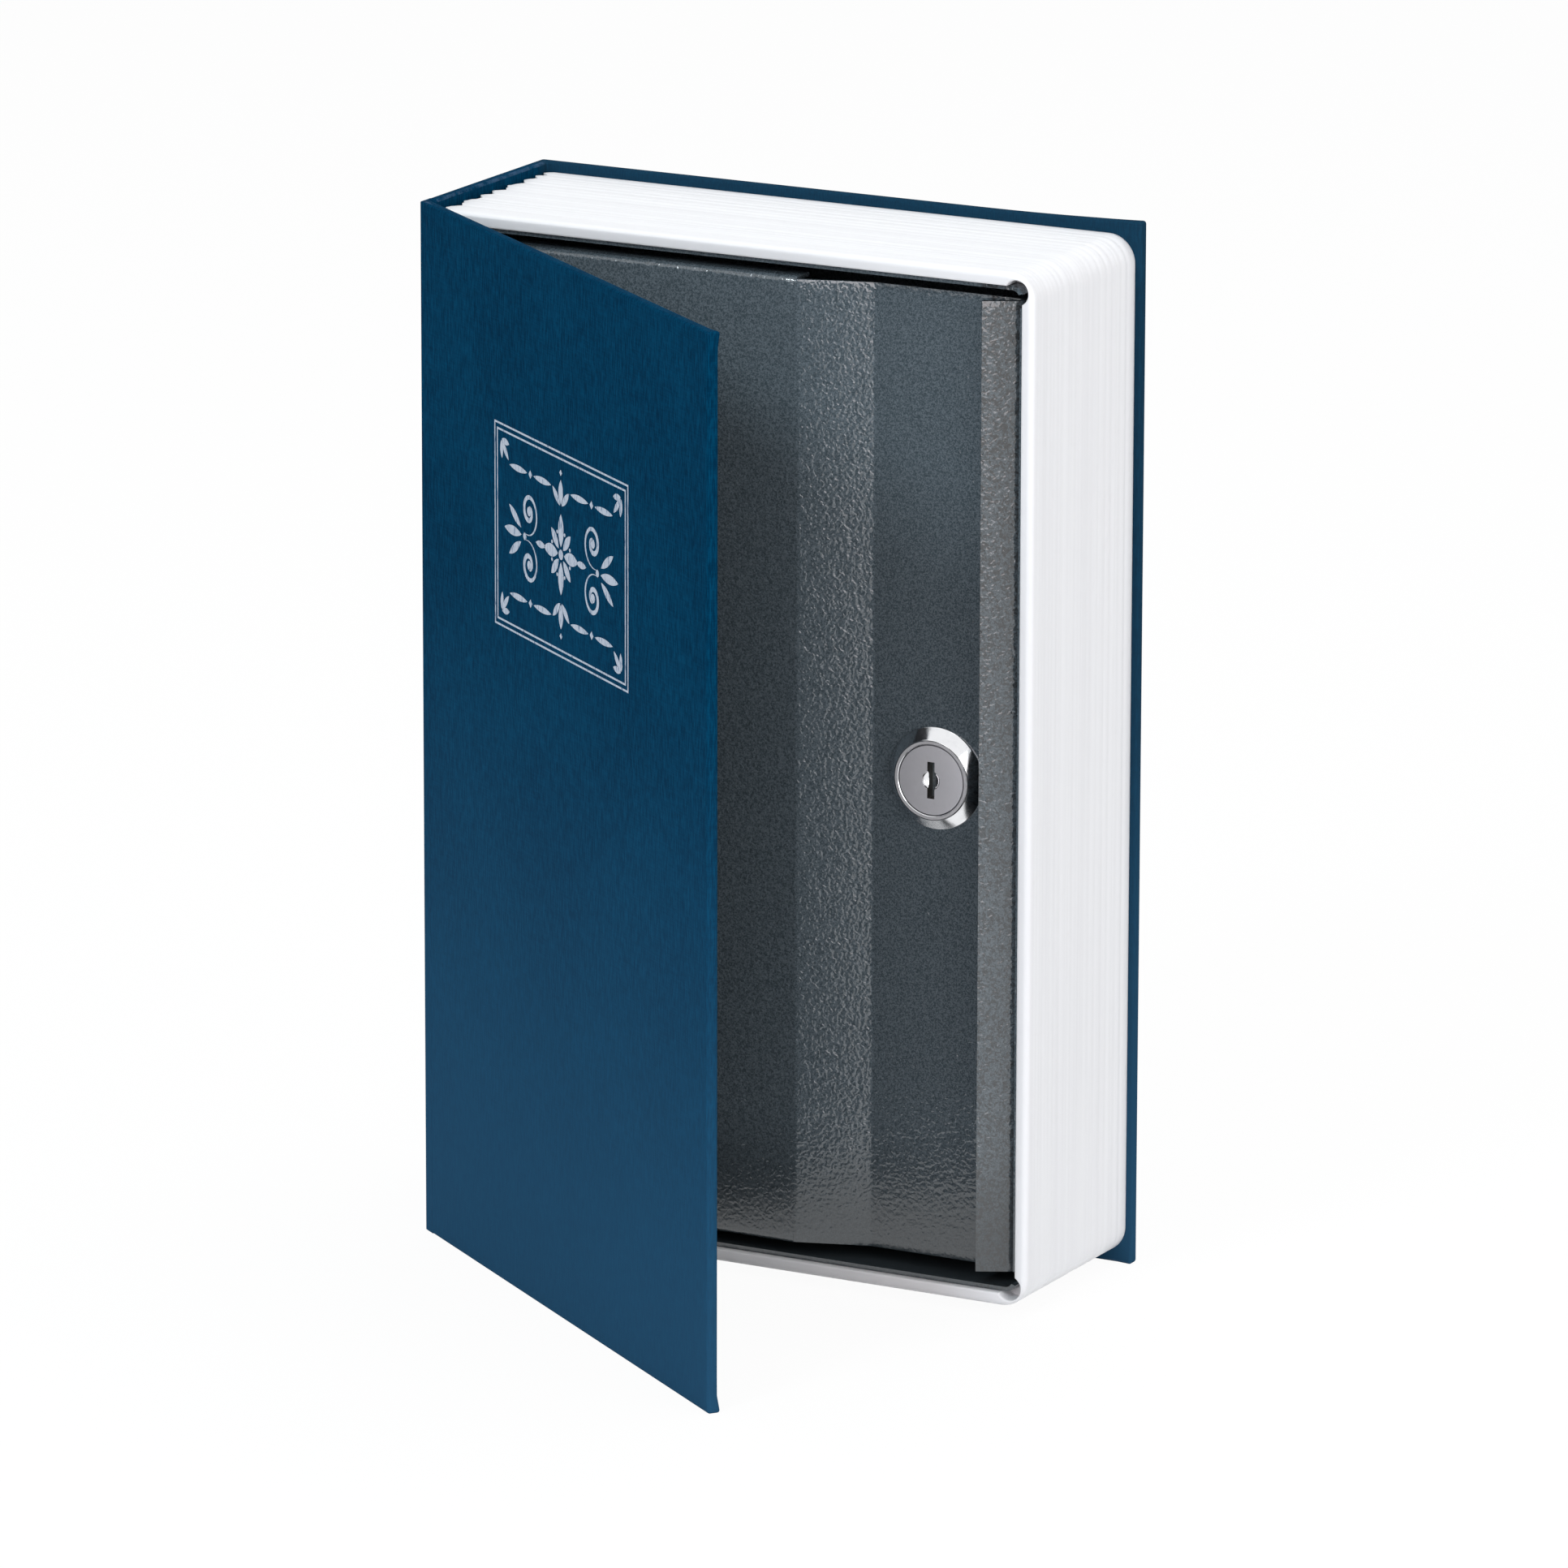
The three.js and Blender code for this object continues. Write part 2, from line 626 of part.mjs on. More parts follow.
// Flange along the main flat, bent back at its end; side is 1 at the head, -1 at the tail
function flange(side) {
  const edge = side > 0 ? door.z1 : door.z0;
  const half = DOOR_SHEET / 2;
  const line = bentLine([
    [door.y + half, edge - side * FLANGE_LAP],
    [door.y + half, edge - side * half, FLANGE_BEND_RADIUS - half],
    [door.y + FLANGE_DEPTH, edge - side * half],
  ]);
  return prismX(sheetOutline(line, DOOR_SHEET), door.x0, rampStart);
}

function makeDoor() {
  const hole = PIN_RADIUS + RUNNING_CLEARANCE;
  const bore = [[0, 0], [hole, 0], [hole, BOOK_HEIGHT], [0, BOOK_HEIGHT]];
  let panel = prismZ(sheetOutline(doorLine(), DOOR_SHEET),
    door.z0 + FLANGE_STEP, door.z1 - FLANGE_STEP);
  [[door.z0, door.z0 + FLANGE_TRIM], [door.z1 - FLANGE_TRIM, door.z1]].forEach(([z0, z1]) => {
    panel = panel.subtract(block(door.x0 - OVERCUT, rampStart, door.y - OVERCUT,
      door.y + FLANGE_DEPTH, z0, z1));
  });
  return panel.add(flange(1)).add(flange(-1))
    .subtract(turnedZ(bore, pivot.x, pivot.y))
    .subtract(barrelSolid(BARREL_RADIUS + RUNNING_CLEARANCE, BARREL_FLAT + RUNNING_CLEARANCE,
      recessY - OVERCUT, recessY + DOOR_SHEET + OVERCUT));
}

// Lock

// Round barrel with a flat on each side, so that it can't turn in the door
function barrelSolid(radius, flat, y0, y1) {
  return discY(radius, y0, y1, lock.x, lock.z)
    .intersect(block(lock.x - flat, lock.x + flat, y0 - OVERCUT, y1 + OVERCUT,
      lock.z - 2 * radius, lock.z + 2 * radius));
}

function makeLockHousing() {
  const seat = lock.face + PLUG_FACE_SINK + PLUG_FACE_THICKNESS + AXIAL_CLEARANCE;
  const bezel = turnedY([
    [0, lock.face],
    [BEZEL_FACE_RADIUS, lock.face],
    [BEZEL_BASE_RADIUS, recessY - BEZEL_RIM],
    [BEZEL_BASE_RADIUS, recessY],
    [0, recessY],
  ], lock.x, lock.z);
  return bezel.add(barrelSolid(BARREL_RADIUS, BARREL_FLAT, recessY - OVERCUT, lock.barrelEnd))
    .subtract(discY(PLUG_FACE_RADIUS + RUNNING_CLEARANCE, lock.face - OVERCUT, seat,
      lock.x, lock.z))
    .subtract(discY(PLUG_RADIUS + RUNNING_CLEARANCE, lock.face, lock.barrelEnd + OVERCUT,
      lock.x, lock.z));
}

const washerFace = recessY + DOOR_SHEET + SEAT_CLEARANCE;
const nutFace = washerFace + LOCK_WASHER_THICKNESS + SEAT_CLEARANCE;

function makeLockWasher() {
  return ringY(BARREL_RADIUS + RUNNING_CLEARANCE, LOCK_WASHER_RADIUS,
    washerFace, washerFace + LOCK_WASHER_THICKNESS, lock.x, lock.z);
}

function makeLockNut() {
  const corner = NUT_ACROSS_FLATS / Math.sqrt(3);
  const chamfered = turnedY([
    [0, nutFace],
    [corner, nutFace],
    [corner, nutFace + NUT_THICKNESS - NUT_CHAMFER],
    [NUT_ACROSS_FLATS / 2, nutFace + NUT_THICKNESS],
    [0, nutFace + NUT_THICKNESS],
  ], lock.x, lock.z);
  return discY(corner, nutFace, nutFace + NUT_THICKNESS, lock.x, lock.z, 6)
    .intersect(chamfered)
    .subtract(discY(BARREL_RADIUS + RUNNING_CLEARANCE, nutFace - OVERCUT,
      nutFace + NUT_THICKNESS + OVERCUT, lock.x, lock.z));
}

const plugFace = lock.face + PLUG_FACE_SINK;
const tangEnd = camFront + CAM_THICKNESS - SEAT_CLEARANCE;
const waferPlaces = Array.from({ length: WAFER_COUNT },
  (_, i) => plugFace + WAFER_START + i * WAFER_PITCH);

function slotBlock(width, height, y0, y1) {
  return block(lock.x - width / 2, lock.x + width / 2, y0, y1,
    lock.z - height / 2, lock.z + height / 2);
}

// Plug with its face plate, key slot, wafer slots and the square tang for the cam
function makePlug() {
  const body = turnedY([
    [0, plugFace],
    [PLUG_FACE_RADIUS, plugFace],
    [PLUG_FACE_RADIUS, plugFace + PLUG_FACE_THICKNESS],
    [PLUG_RADIUS, plugFace + PLUG_FACE_THICKNESS],
    [PLUG_RADIUS, camFront - SEAT_CLEARANCE],
    [0, camFront - SEAT_CLEARANCE],
  ], lock.x, lock.z);
  const dish = turnedY([
    [0, plugFace - OVERCUT],
    [KEY_DISH_RADIUS, plugFace - OVERCUT],
    [KEY_DISH_RADIUS, plugFace],
    [KEY_DISH_FLOOR_RADIUS, plugFace + KEY_DISH_DEPTH],
    [0, plugFace + KEY_DISH_DEPTH],
  ], lock.x, lock.z, SMALL_SIDES);
  let plug = body.add(slotBlock(TANG_SIDE, TANG_SIDE, camFront - OVERCUT, tangEnd))
    .subtract(slotBlock(KEY_SLOT_WIDTH, KEY_SLOT_HEIGHT, plugFace - OVERCUT,
      plugFace + KEY_SLOT_DEPTH))
    .subtract(dish);
  waferPlaces.forEach((y) => {
    plug = plug.subtract(slotBlock(WAFER_WIDTH + 2 * WAFER_CLEARANCE, 2 * PLUG_FACE_RADIUS,
      y - WAFER_CLEARANCE, y + WAFER_THICKNESS + WAFER_CLEARANCE));
  });
  return plug.subtract(discY(CAM_SCREW_RADIUS + SEAT_CLEARANCE, tangEnd - CAM_SCREW_LENGTH,
    tangEnd + OVERCUT, lock.x, lock.z, SMALL_SIDES));
}

// A wafer drawn flush with the plug, with the window that the key lifts it by
function makeWafer(y) {
  const radius = PLUG_RADIUS - WAFER_CLEARANCE;
  return discY(radius, y, y + WAFER_THICKNESS, lock.x, lock.z)
    .intersect(slotBlock(WAFER_WIDTH, 2 * radius, y, y + WAFER_THICKNESS))
    .subtract(slotBlock(WAFER_WINDOW_WIDTH, WAFER_WINDOW_HEIGHT, y - OVERCUT,
      y + WAFER_THICKNESS + OVERCUT));
}

// Cam: a tapered arm with round ends, pointing up when the door is free to open
function makeCam() {
  const hub = CAM_HUB_RADIUS;
  const tip = CAM_TIP_RADIUS;
  const span = CAM_REACH - tip;
  const lean = Math.asin((hub - tip) / span);
  const shape = new THREE.Shape();
  shape.absarc(lock.x, lock.z, hub, Math.PI - lean, lean, false);
  shape.absarc(lock.x, lock.z + span, tip, lean, Math.PI - lean, false);
  shape.closePath();
  const square = TANG_SIDE + 2 * RUNNING_CLEARANCE;
  return prismY(shape, camFront, camFront + CAM_THICKNESS, 2 * BEND_STEPS)
    .subtract(slotBlock(square, square, camFront - OVERCUT, camFront + CAM_THICKNESS + OVERCUT));
}

const camWasherFace = camFront + CAM_THICKNESS + SEAT_CLEARANCE;
const screwHeadFace = camWasherFace + CAM_WASHER_THICKNESS + SEAT_CLEARANCE;

function makeCamWasher() {
  return ringY(CAM_SCREW_RADIUS + RUNNING_CLEARANCE, CAM_WASHER_RADIUS,
    camWasherFace, camWasherFace + CAM_WASHER_THICKNESS, lock.x, lock.z);
}

function makeCamScrew() {
  const tip = tangEnd - CAM_SCREW_LENGTH + AXIAL_CLEARANCE;
  const headEnd = screwHeadFace + CAM_SCREW_HEAD;
  const screw = turnedY([
    [0, tip],
    [CAM_SCREW_RADIUS, tip],
    [CAM_SCREW_RADIUS, screwHeadFace],
    [CAM_SCREW_HEAD_RADIUS, screwHeadFace],
    [CAM_SCREW_HEAD_RADIUS, headEnd - CAM_SCREW_HEAD / 2],
    [CAM_SCREW_TOP_RADIUS, headEnd],
    [0, headEnd],
  ], lock.x, lock.z, SMALL_SIDES);
  const slotEnd = headEnd - CAM_SCREW_HEAD / 2;
  return screw
    .subtract(slotBlock(CAM_SCREW_SLOT, CAM_SCREW_HEAD_RADIUS, slotEnd, headEnd + OVERCUT))
    .subtract(slotBlock(CAM_SCREW_HEAD_RADIUS, CAM_SCREW_SLOT, slotEnd, headEnd + OVERCUT));
}

// Finishes

function finish(color, roughness, metalness) {
  return new THREE.MeshStandardMaterial({ color, roughness, metalness });
}

const cloth = finish(0x0b3f63, 0.85, 0);
const greyboard = finish(0x8d867a, 0.95, 0);
const paper = finish(0x3a3b40, 0.9, 0);
const whitePlastic = finish(0xf2f2f4, 0.45, 0);
const hammertone = finish(0x4b545a, 0.45, 0.35);
const zincPlate = finish(0xb3b4b2, 0.4, 0.9);
const chrome = finish(0xd8dade, 0.12, 1);
const satinZinc = finish(0x96989c, 0.4, 0.85);
const brass = finish(0xb89a54, 0.35, 0.9);

function piece(name, shape, material) {
  const mesh = new THREE.Mesh(geometryOf(shape), material);
  mesh.name = name;
  return mesh;
}

// Put together

const safe = new THREE.Group();
// The origin is the foot of the back cover, halfway along it and through it
safe.position.set(-BOOK_WIDTH / 2, coverThickness / 2 - BOOK_THICKNESS, 0);

safe.add(
  piece('spine_board', makeSpineBoard(), greyboard),
  piece('back_board', makeBackBoard(), greyboard),
  piece('case_cloth', makeCaseCloth(), cloth),
  piece('page_frame', makePageFrame(), whitePlastic),
  piece('box_body', makeBox(), hammertone),
  piece('keeper', makeKeeper(), hammertone),
  piece('upper_hinge_pin', makeHingePin(1), zincPlate),
  piece('lower_hinge_pin', makeHingePin(-1), zincPlate),
);

const frontCover = new THREE.Group();
frontCover.rotation.z = -THREE.MathUtils.degToRad(COVER_AJAR);
frontCover.add(
  piece('front_board', makeFrontBoard(), greyboard),
  piece('front_cloth', makeFrontCloth(), cloth),
  piece('front_endpaper', makeEndpaper(), paper),
);
safe.add(piece('hinge_crease', makeCrease(), cloth), frontCover);

const doorGroup = new THREE.Group();
doorGroup.add(
  piece('door_panel', makeDoor(), hammertone),
  piece('lock_housing', makeLockHousing(), chrome),
  piece('lock_washer', makeLockWasher(), zincPlate),
  piece('lock_nut', makeLockNut(), zincPlate),
);
safe.add(doorGroup);

const lockCore = new THREE.Group();
lockCore.add(
  piece('lock_plug', makePlug(), satinZinc),
  piece('cam', makeCam(), zincPlate),
  piece('cam_washer', makeCamWasher(), zincPlate),
  piece('cam_screw', makeCamScrew(), zincPlate),
);
waferPlaces.forEach((y, i) => {
  lockCore.add(piece(`wafer_${i + 1}`, makeWafer(y), brass));
});
doorGroup.add(lockCore);

export default safe;
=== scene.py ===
import math
import random

import bpy
import bmesh
from mathutils import Matrix, Vector, noise


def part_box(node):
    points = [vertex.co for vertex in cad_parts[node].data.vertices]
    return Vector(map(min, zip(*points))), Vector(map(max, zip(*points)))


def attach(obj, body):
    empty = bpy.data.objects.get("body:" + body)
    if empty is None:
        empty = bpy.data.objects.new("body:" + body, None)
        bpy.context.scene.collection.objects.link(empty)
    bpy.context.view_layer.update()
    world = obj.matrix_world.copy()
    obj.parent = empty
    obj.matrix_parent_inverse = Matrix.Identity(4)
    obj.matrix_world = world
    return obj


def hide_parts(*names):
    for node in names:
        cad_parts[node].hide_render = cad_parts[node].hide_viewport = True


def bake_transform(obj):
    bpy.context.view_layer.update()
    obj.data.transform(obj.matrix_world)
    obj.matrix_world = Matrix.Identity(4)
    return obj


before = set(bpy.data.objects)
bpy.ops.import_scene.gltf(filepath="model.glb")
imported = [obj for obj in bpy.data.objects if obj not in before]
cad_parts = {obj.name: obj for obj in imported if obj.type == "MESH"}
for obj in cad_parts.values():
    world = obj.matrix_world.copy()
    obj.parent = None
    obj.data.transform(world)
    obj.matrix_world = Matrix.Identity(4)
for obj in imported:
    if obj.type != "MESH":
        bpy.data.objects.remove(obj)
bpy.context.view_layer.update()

# Camera
# A long lens in front of the fore edge and a little above it, so that the book's upright
# edges stay nearly parallel.
CAMERA_PLACE = (1.1841, -2.2324, 0.7505)
CAMERA_YAW = 28.21
CAMERA_PITCH = -14.38
CAMERA_ROLL = 0.136
LENS = 263.15
SENSOR = 36.0

camera_data = bpy.data.cameras.new("camera")
camera_data.lens = LENS
camera_data.sensor_width = SENSOR
camera_data.clip_start = 0.1
camera_data.clip_end = 50
camera = bpy.data.objects.new("camera", camera_data)
camera.matrix_world = (
    Matrix.Translation(CAMERA_PLACE)
    @ Matrix.Rotation(math.radians(CAMERA_YAW), 4, "Z")
    @ Matrix.Rotation(math.radians(90 + CAMERA_PITCH), 4, "X")
    @ Matrix.Rotation(math.radians(CAMERA_ROLL), 4, "Z")
)
bpy.context.collection.objects.link(camera)
scene = bpy.context.scene
scene.camera = camera
scene.view_settings.view_transform = "Standard"

# Floor, surroundings and lamps
# A white floor and backdrop. The main lamp is a soft box high in front, which leaves the
# cover's slanted shadow on the door. Wide ones fill in low in front, from the right and above.
SURROUND_LIGHT = 0.44
FLOOR_WHITE = (0.9, 0.9, 0.9, 1)
FLOOR_SHOWN_WHITE = 0.95
FLOOR_REACH = 4.0
LAMPS = [
    ("main_lamp", (-0.26, -1.80, 1.42), 0.45, 17.5, (0.88, 1.0, 1.07)),
    ("front_lamp", (0.35, -2.10, 0.45), 1.4, 13, (1.05, 0.96, 0.98)),
    ("right_lamp", (1.95, -0.65, 0.9), 1.8, 19.5, (1.0, 0.99, 1.0)),
    ("top_lamp", (0.1, 0.3, 2.0), 1.2, 17, (1, 1, 1)),
]
LAMP_TARGET = Vector((0, -0.03, 0.12))


class Wire:
    """An output in a node tree. Sums on it add Math nodes, and node() adds any other node."""

    def __init__(self, socket):
        self.socket = socket

    def node(self, kind, output, inputs, **settings):
        """Adds a node of a kind: its settings, then the values or links of its sockets."""
        tree = self.socket.id_data
        added = tree.nodes.new("ShaderNode" + kind)
        for name, value in settings.items():
            setattr(added, name, value)
        for name, value in inputs.items():
            if isinstance(value, Wire):
                tree.links.new(value.socket, added.inputs[name])
            else:
                added.inputs[name].default_value = value
        return Wire(added.outputs[output])

    def maths(self, operation, *values):
        return self.node("Math", 0, dict(enumerate(values)), operation=operation)

    def __add__(self, other):
        return self.maths("ADD", self, other)

    def __sub__(self, other):
        return self.maths("SUBTRACT", self, other)

    def __rsub__(self, other):
        return self.maths("SUBTRACT", other, self)

    def __mul__(self, other):
        return self.maths("MULTIPLY", self, other)

    __radd__ = __add__
    __rmul__ = __mul__

    def between(self, low, high):
        """0 below low, 1 above high, and smooth between them."""
        return self.node(
            "MapRange", 0, {"Value": self, "From Min": low, "From Max": high},
            interpolation_type="SMOOTHSTEP",
        )

    def mix(self, none, full):
        """A colour: none where this is 0, full where it is 1."""
        return self.node("Mix", 2, {0: self, 6: none, 7: full}, data_type="RGBA")

    def part(self, axis):
        """How far this place is along one axis, in metres in the row frame."""
        return self.node("SeparateXYZ", axis, {0: self})

    def stretched(self, x, y, z):
        """This place with each axis multiplied."""
        return self.node(
            "VectorMath", 0, {0: self, 1: (x, y, z)}, operation="MULTIPLY")

    def noise(self, scale, detail=2.0, roughness=0.5, distortion=0.0):
        """Cloudy noise at this place, with scale spots to a metre."""
        return self.node("TexNoise", "Fac", {
            "Vector": self, "Scale": scale, "Detail": detail,
            "Roughness": roughness, "Distortion": distortion,
        })

    def bump(self, distance, strength=1.0):
        """Relief that is distance metres high where this is 1."""
        return self.node(
            "Bump", "Normal", {"Height": self, "Distance": distance, "Strength": strength})

    def into(self, target, name):
        self.socket.id_data.links.new(self.socket, target.inputs[name])


def shown(tree):
    """1 for rays that show the background: the camera's, and those in gloss or glass."""
    outputs = tree.nodes.new("ShaderNodeLightPath").outputs
    camera_ray, gloss, glass = (
        Wire(outputs[f"Is {kind} Ray"]) for kind in ("Camera", "Glossy", "Transmission"))
    return gloss.maths("MAXIMUM", camera_ray, gloss.maths("MAXIMUM", gloss, glass))


world = bpy.data.worlds.new("surroundings")
world.use_nodes = True
scene.world = world
sky = world.node_tree.nodes["Background"]
sky.inputs["Color"].default_value = (1, 1, 1, 1)
(shown(world.node_tree) * (1 - SURROUND_LIGHT) + SURROUND_LIGHT).into(sky, "Strength")

floor_finish = bpy.data.materials.new("floor")
floor_finish.use_nodes = True
tree = floor_finish.node_tree
seen = shown(tree)
painted = seen.node("BsdfDiffuse", 0, {"Color": FLOOR_WHITE})
glowing = seen.node("Emission", 0, {"Color": (1, 1, 1, 1), "Strength": 1.0})
seen.node("MixShader", 0, {0: seen * FLOOR_SHOWN_WHITE, 1: painted, 2: glowing}).into(
    tree.nodes["Material Output"], "Surface")

floor_mesh = bpy.data.meshes.new("floor")
floor_mesh.from_pydata(
    [(x * FLOOR_REACH, y * FLOOR_REACH, 0) for x, y in ((-1, -1), (1, -1), (1, 1), (-1, 1))],
    [], [(0, 1, 2, 3)])
floor_mesh.materials.append(floor_finish)
floor = bpy.data.objects.new("floor", floor_mesh)
bpy.context.collection.objects.link(floor)

for name, place, size, power, tint in LAMPS:
    lamp_data = bpy.data.lights.new(name, "AREA")
    lamp_data.shape = "SQUARE"
    lamp_data.size = size
    lamp_data.energy = power
    lamp_data.color = tint
    lamp = bpy.data.objects.new(name, lamp_data)
    lamp.location = place
    lamp.rotation_mode = "QUATERNION"
    lamp.rotation_quaternion = (LAMP_TARGET - Vector(place)).to_track_quat("-Z", "Y")
    bpy.context.collection.objects.link(lamp)

# Case: spine and back cover
# Two greyboards under one sheet of dark blue book cloth, glued on and turned in round the
# edges. The cloth is woven from slubby thread, and it is thickest where it folds at a corner.
MM = 0.001
BOOK_WIDTH = 154.0
BOOK_THICKNESS = 55.5
BOOK_HEIGHT = 240.0
COVER_THICKNESS = 2.6
BACK_INSIDE = BOOK_THICKNESS - COVER_THICKNESS
BACK_MIDDLE = BOOK_THICKNESS - COVER_THICKNESS / 2
SPINE_FRONT = 2.8
SPINE_FRONT_RADIUS = 0.3
EDGE_RADIUS = 0.75
EDGE_STEPS = 5
CASE_CORNER_RADIUS = 1.1
CASE_INNER_RADIUS = 0.5
CLOTH_SPACING = 3.0
FOLD_REACH = 13.0
FOLD_SEAM = (0.22, 1.4)
FOLD_TIP = (0.38, 5.0)
CORNER_LIFT = 0.85
LIFT_FROM_WIDTH = 0.74
LIFT_FROM_HEIGHT = 0.8
CLOTH_WAVE = 0.05
CLOTH_WAVE_RATE = 0.03
CLOTH_DARK = (0.0003, 0.0175, 0.044, 1)
CLOTH_LIGHT = (0.0008, 0.0575, 0.126, 1)
# Painted reflection of the white floor: the cloth is painted greyer and lighter towards its foot.
CLOTH_FLOOR_REFLECTION = (0.0200, 0.072, 0.138, 1)
CLOTH_WORN = (0.060, 0.110, 0.190, 1)
# Painted shade: the back cover's cloth is painted darker and greyer, for its inner face that
# stands in shadow beside the page block.
CLOTH_BACK_SHADE = (0.0112, 0.034, 0.058, 1)
CLOTH_FLOOR_REFLECTION_SPAN = (-0.03, 0.18)
CLOTH_BACK_SHADE_SPAN = (-0.006, -0.002)
BOARD_GREY = (0.27, 0.245, 0.21, 1)
BOARD_FLECKS = (0.16, 0.14, 0.12, 1)
SHARP_ANGLE = 32
LEAST_RADIUS = 0.02

case_low, case_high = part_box("case_cloth")
CORNER_X = case_low.x / MM
CORNER_Y = case_high.y / MM - BOOK_THICKNESS


def at(x, y, z):
    """A place in millimetres from the corner that the cover turns on, in the row frame."""
    return Vector((CORNER_X + x, CORNER_Y + y, z)) * MM


def finish(name, fixed):
    """A material: its main shader with fixed sockets set, and its object coordinates."""
    material = bpy.data.materials.new(name)
    material.use_nodes = True
    shader = material.node_tree.nodes["Principled BSDF"]
    for socket, value in fixed.items():
        shader.inputs[socket].default_value = value
    place = Wire(material.node_tree.nodes.new("ShaderNodeTexCoord").outputs["Object"])
    return material, shader, place


def made(name, points, faces, material, sharp_angle=SHARP_ANGLE):
    """A piece from points in millimetres from the hinge corner, smooth but for sharp edges."""
    mesh = bpy.data.meshes.new(name)
    mesh.from_pydata([at(*point) for point in points], [], faces)
    shape = bmesh.new()
    shape.from_mesh(mesh)
    bmesh.ops.remove_doubles(shape, verts=shape.verts, dist=2e-7)
    bmesh.ops.recalc_face_normals(shape, faces=shape.faces)
    shape.to_mesh(mesh)
    shape.free()
    mesh.materials.append(material)
    smooth(mesh, sharp_angle)
    piece = bpy.data.objects.new(name, mesh)
    bpy.context.collection.objects.link(piece)
    return piece


def smooth(mesh, sharp_angle):
    """Shades a mesh smooth, but for edges that turn by more than an angle in degrees."""
    mesh.shade_smooth()
    mesh.set_sharp_from_angle(angle=math.radians(sharp_angle))


def loft(name, rings, material, ends=True, sharp_angle=SHARP_ANGLE):
    """A skin through rings of equal count, closed over its end rings or joined end to end."""
    count = len(rings[0])
    points = [point for ring in rings for point in ring]
    total = len(points)
    faces = []
    for row in range(len(rings) - 1 if ends else len(rings)):
        for i in range(count):
            j = (i + 1) % count
            low, high = row * count, (row + 1) * count % total
            faces.append((low + i, low + j, high + j, high + i))
    if ends:
        faces.append(tuple(range(count)))
        faces.append(tuple(range(total - count, total)))
    return made(name, points, faces, material, sharp_angle)


def quarter(steps):
    """The angles of a quarter turn, from 0 to 90 degrees in equal steps."""
    return [math.radians(90 * step / steps) for step in range(steps + 1)]


def rounded(corners, spacing, inset=0.0, steps=5):
    """Outline of (x, y, radius) corners, counter-clockwise, drawn in by inset. Its straight
    stretches have a point about every spacing, and none between if that is math.inf."""
    arcs = []
    for i, (x, y, radius) in enumerate(corners):
        here = Vector((x, y))
        before = (here - Vector(corners[i - 1][:2])).normalized()
        after = (Vector(corners[(i + 1) % len(corners)][:2]) - here).normalized()
        first, last = Vector((-before.y, before.x)), Vector((-after.y, after.x))
        turn = math.atan2(before.x * after.y - before.y * after.x, before.dot(after))
        side = math.copysign(1, turn)
        reach = max(radius - side * inset, LEAST_RADIUS)
        centre = here + (first + last) / (1 + first.dot(last)) * (inset + side * reach)
        start = math.atan2(-side * first.y, -side * first.x)
        arcs.append([
            centre + reach * Vector((math.cos(start + turn * step / steps),
                                     math.sin(start + turn * step / steps)))
            for step in range(steps + 1)])
    outline = []
    for i, arc in enumerate(arcs):
        following = arcs[(i + 1) % len(arcs)]
        outline += arc
        full = (Vector(corners[(i + 1) % len(corners)][:2]) - Vector(corners[i][:2])).length
        parts = max(1, round(full / spacing))
        outline += [arc[-1].lerp(following[0], part / parts) for part in range(1, parts)]
    return outline


def board_rings(corners):
    """Rings up a covered board: its outline in x and y, with rounded head and tail edges."""
    levels = [(EDGE_RADIUS * (1 - math.sin(a)), EDGE_RADIUS * (1 - math.cos(a)))
              for a in quarter(EDGE_STEPS)]
    rows = round(BOOK_HEIGHT / CLOTH_SPACING)
    places = levels + [
        (0.0, EDGE_RADIUS + (BOOK_HEIGHT - 2 * EDGE_RADIUS) * row / rows)
        for row in range(1, rows)]
    places += [(inset, BOOK_HEIGHT - z) for inset, z in reversed(levels)]
    return [[(point.x, point.y, z)
             for point in rounded(corners, CLOTH_SPACING, inset, EDGE_STEPS)]
            for inset, z in places]


def corner_fold(along, z):
    """How much thicker the turned-in cloth is near a free corner, where it is folded double:
    along the mitred seam, and most at the tip."""
    seam_rise, seam_width = FOLD_SEAM
    tip_rise, tip_reach = FOLD_TIP
    from_end = min(z, BOOK_HEIGHT - z)
    from_edge = BOOK_WIDTH - along
    tip = max(0.0, 1 - math.hypot(from_end, from_edge) / tip_reach)
    seam = math.exp(-((from_end - from_edge) / seam_width) ** 2)
    seam *= max(0.0, 1 - (from_end + from_edge) / (2 * FOLD_REACH))
    return seam_rise * seam + tip_rise * tip * tip


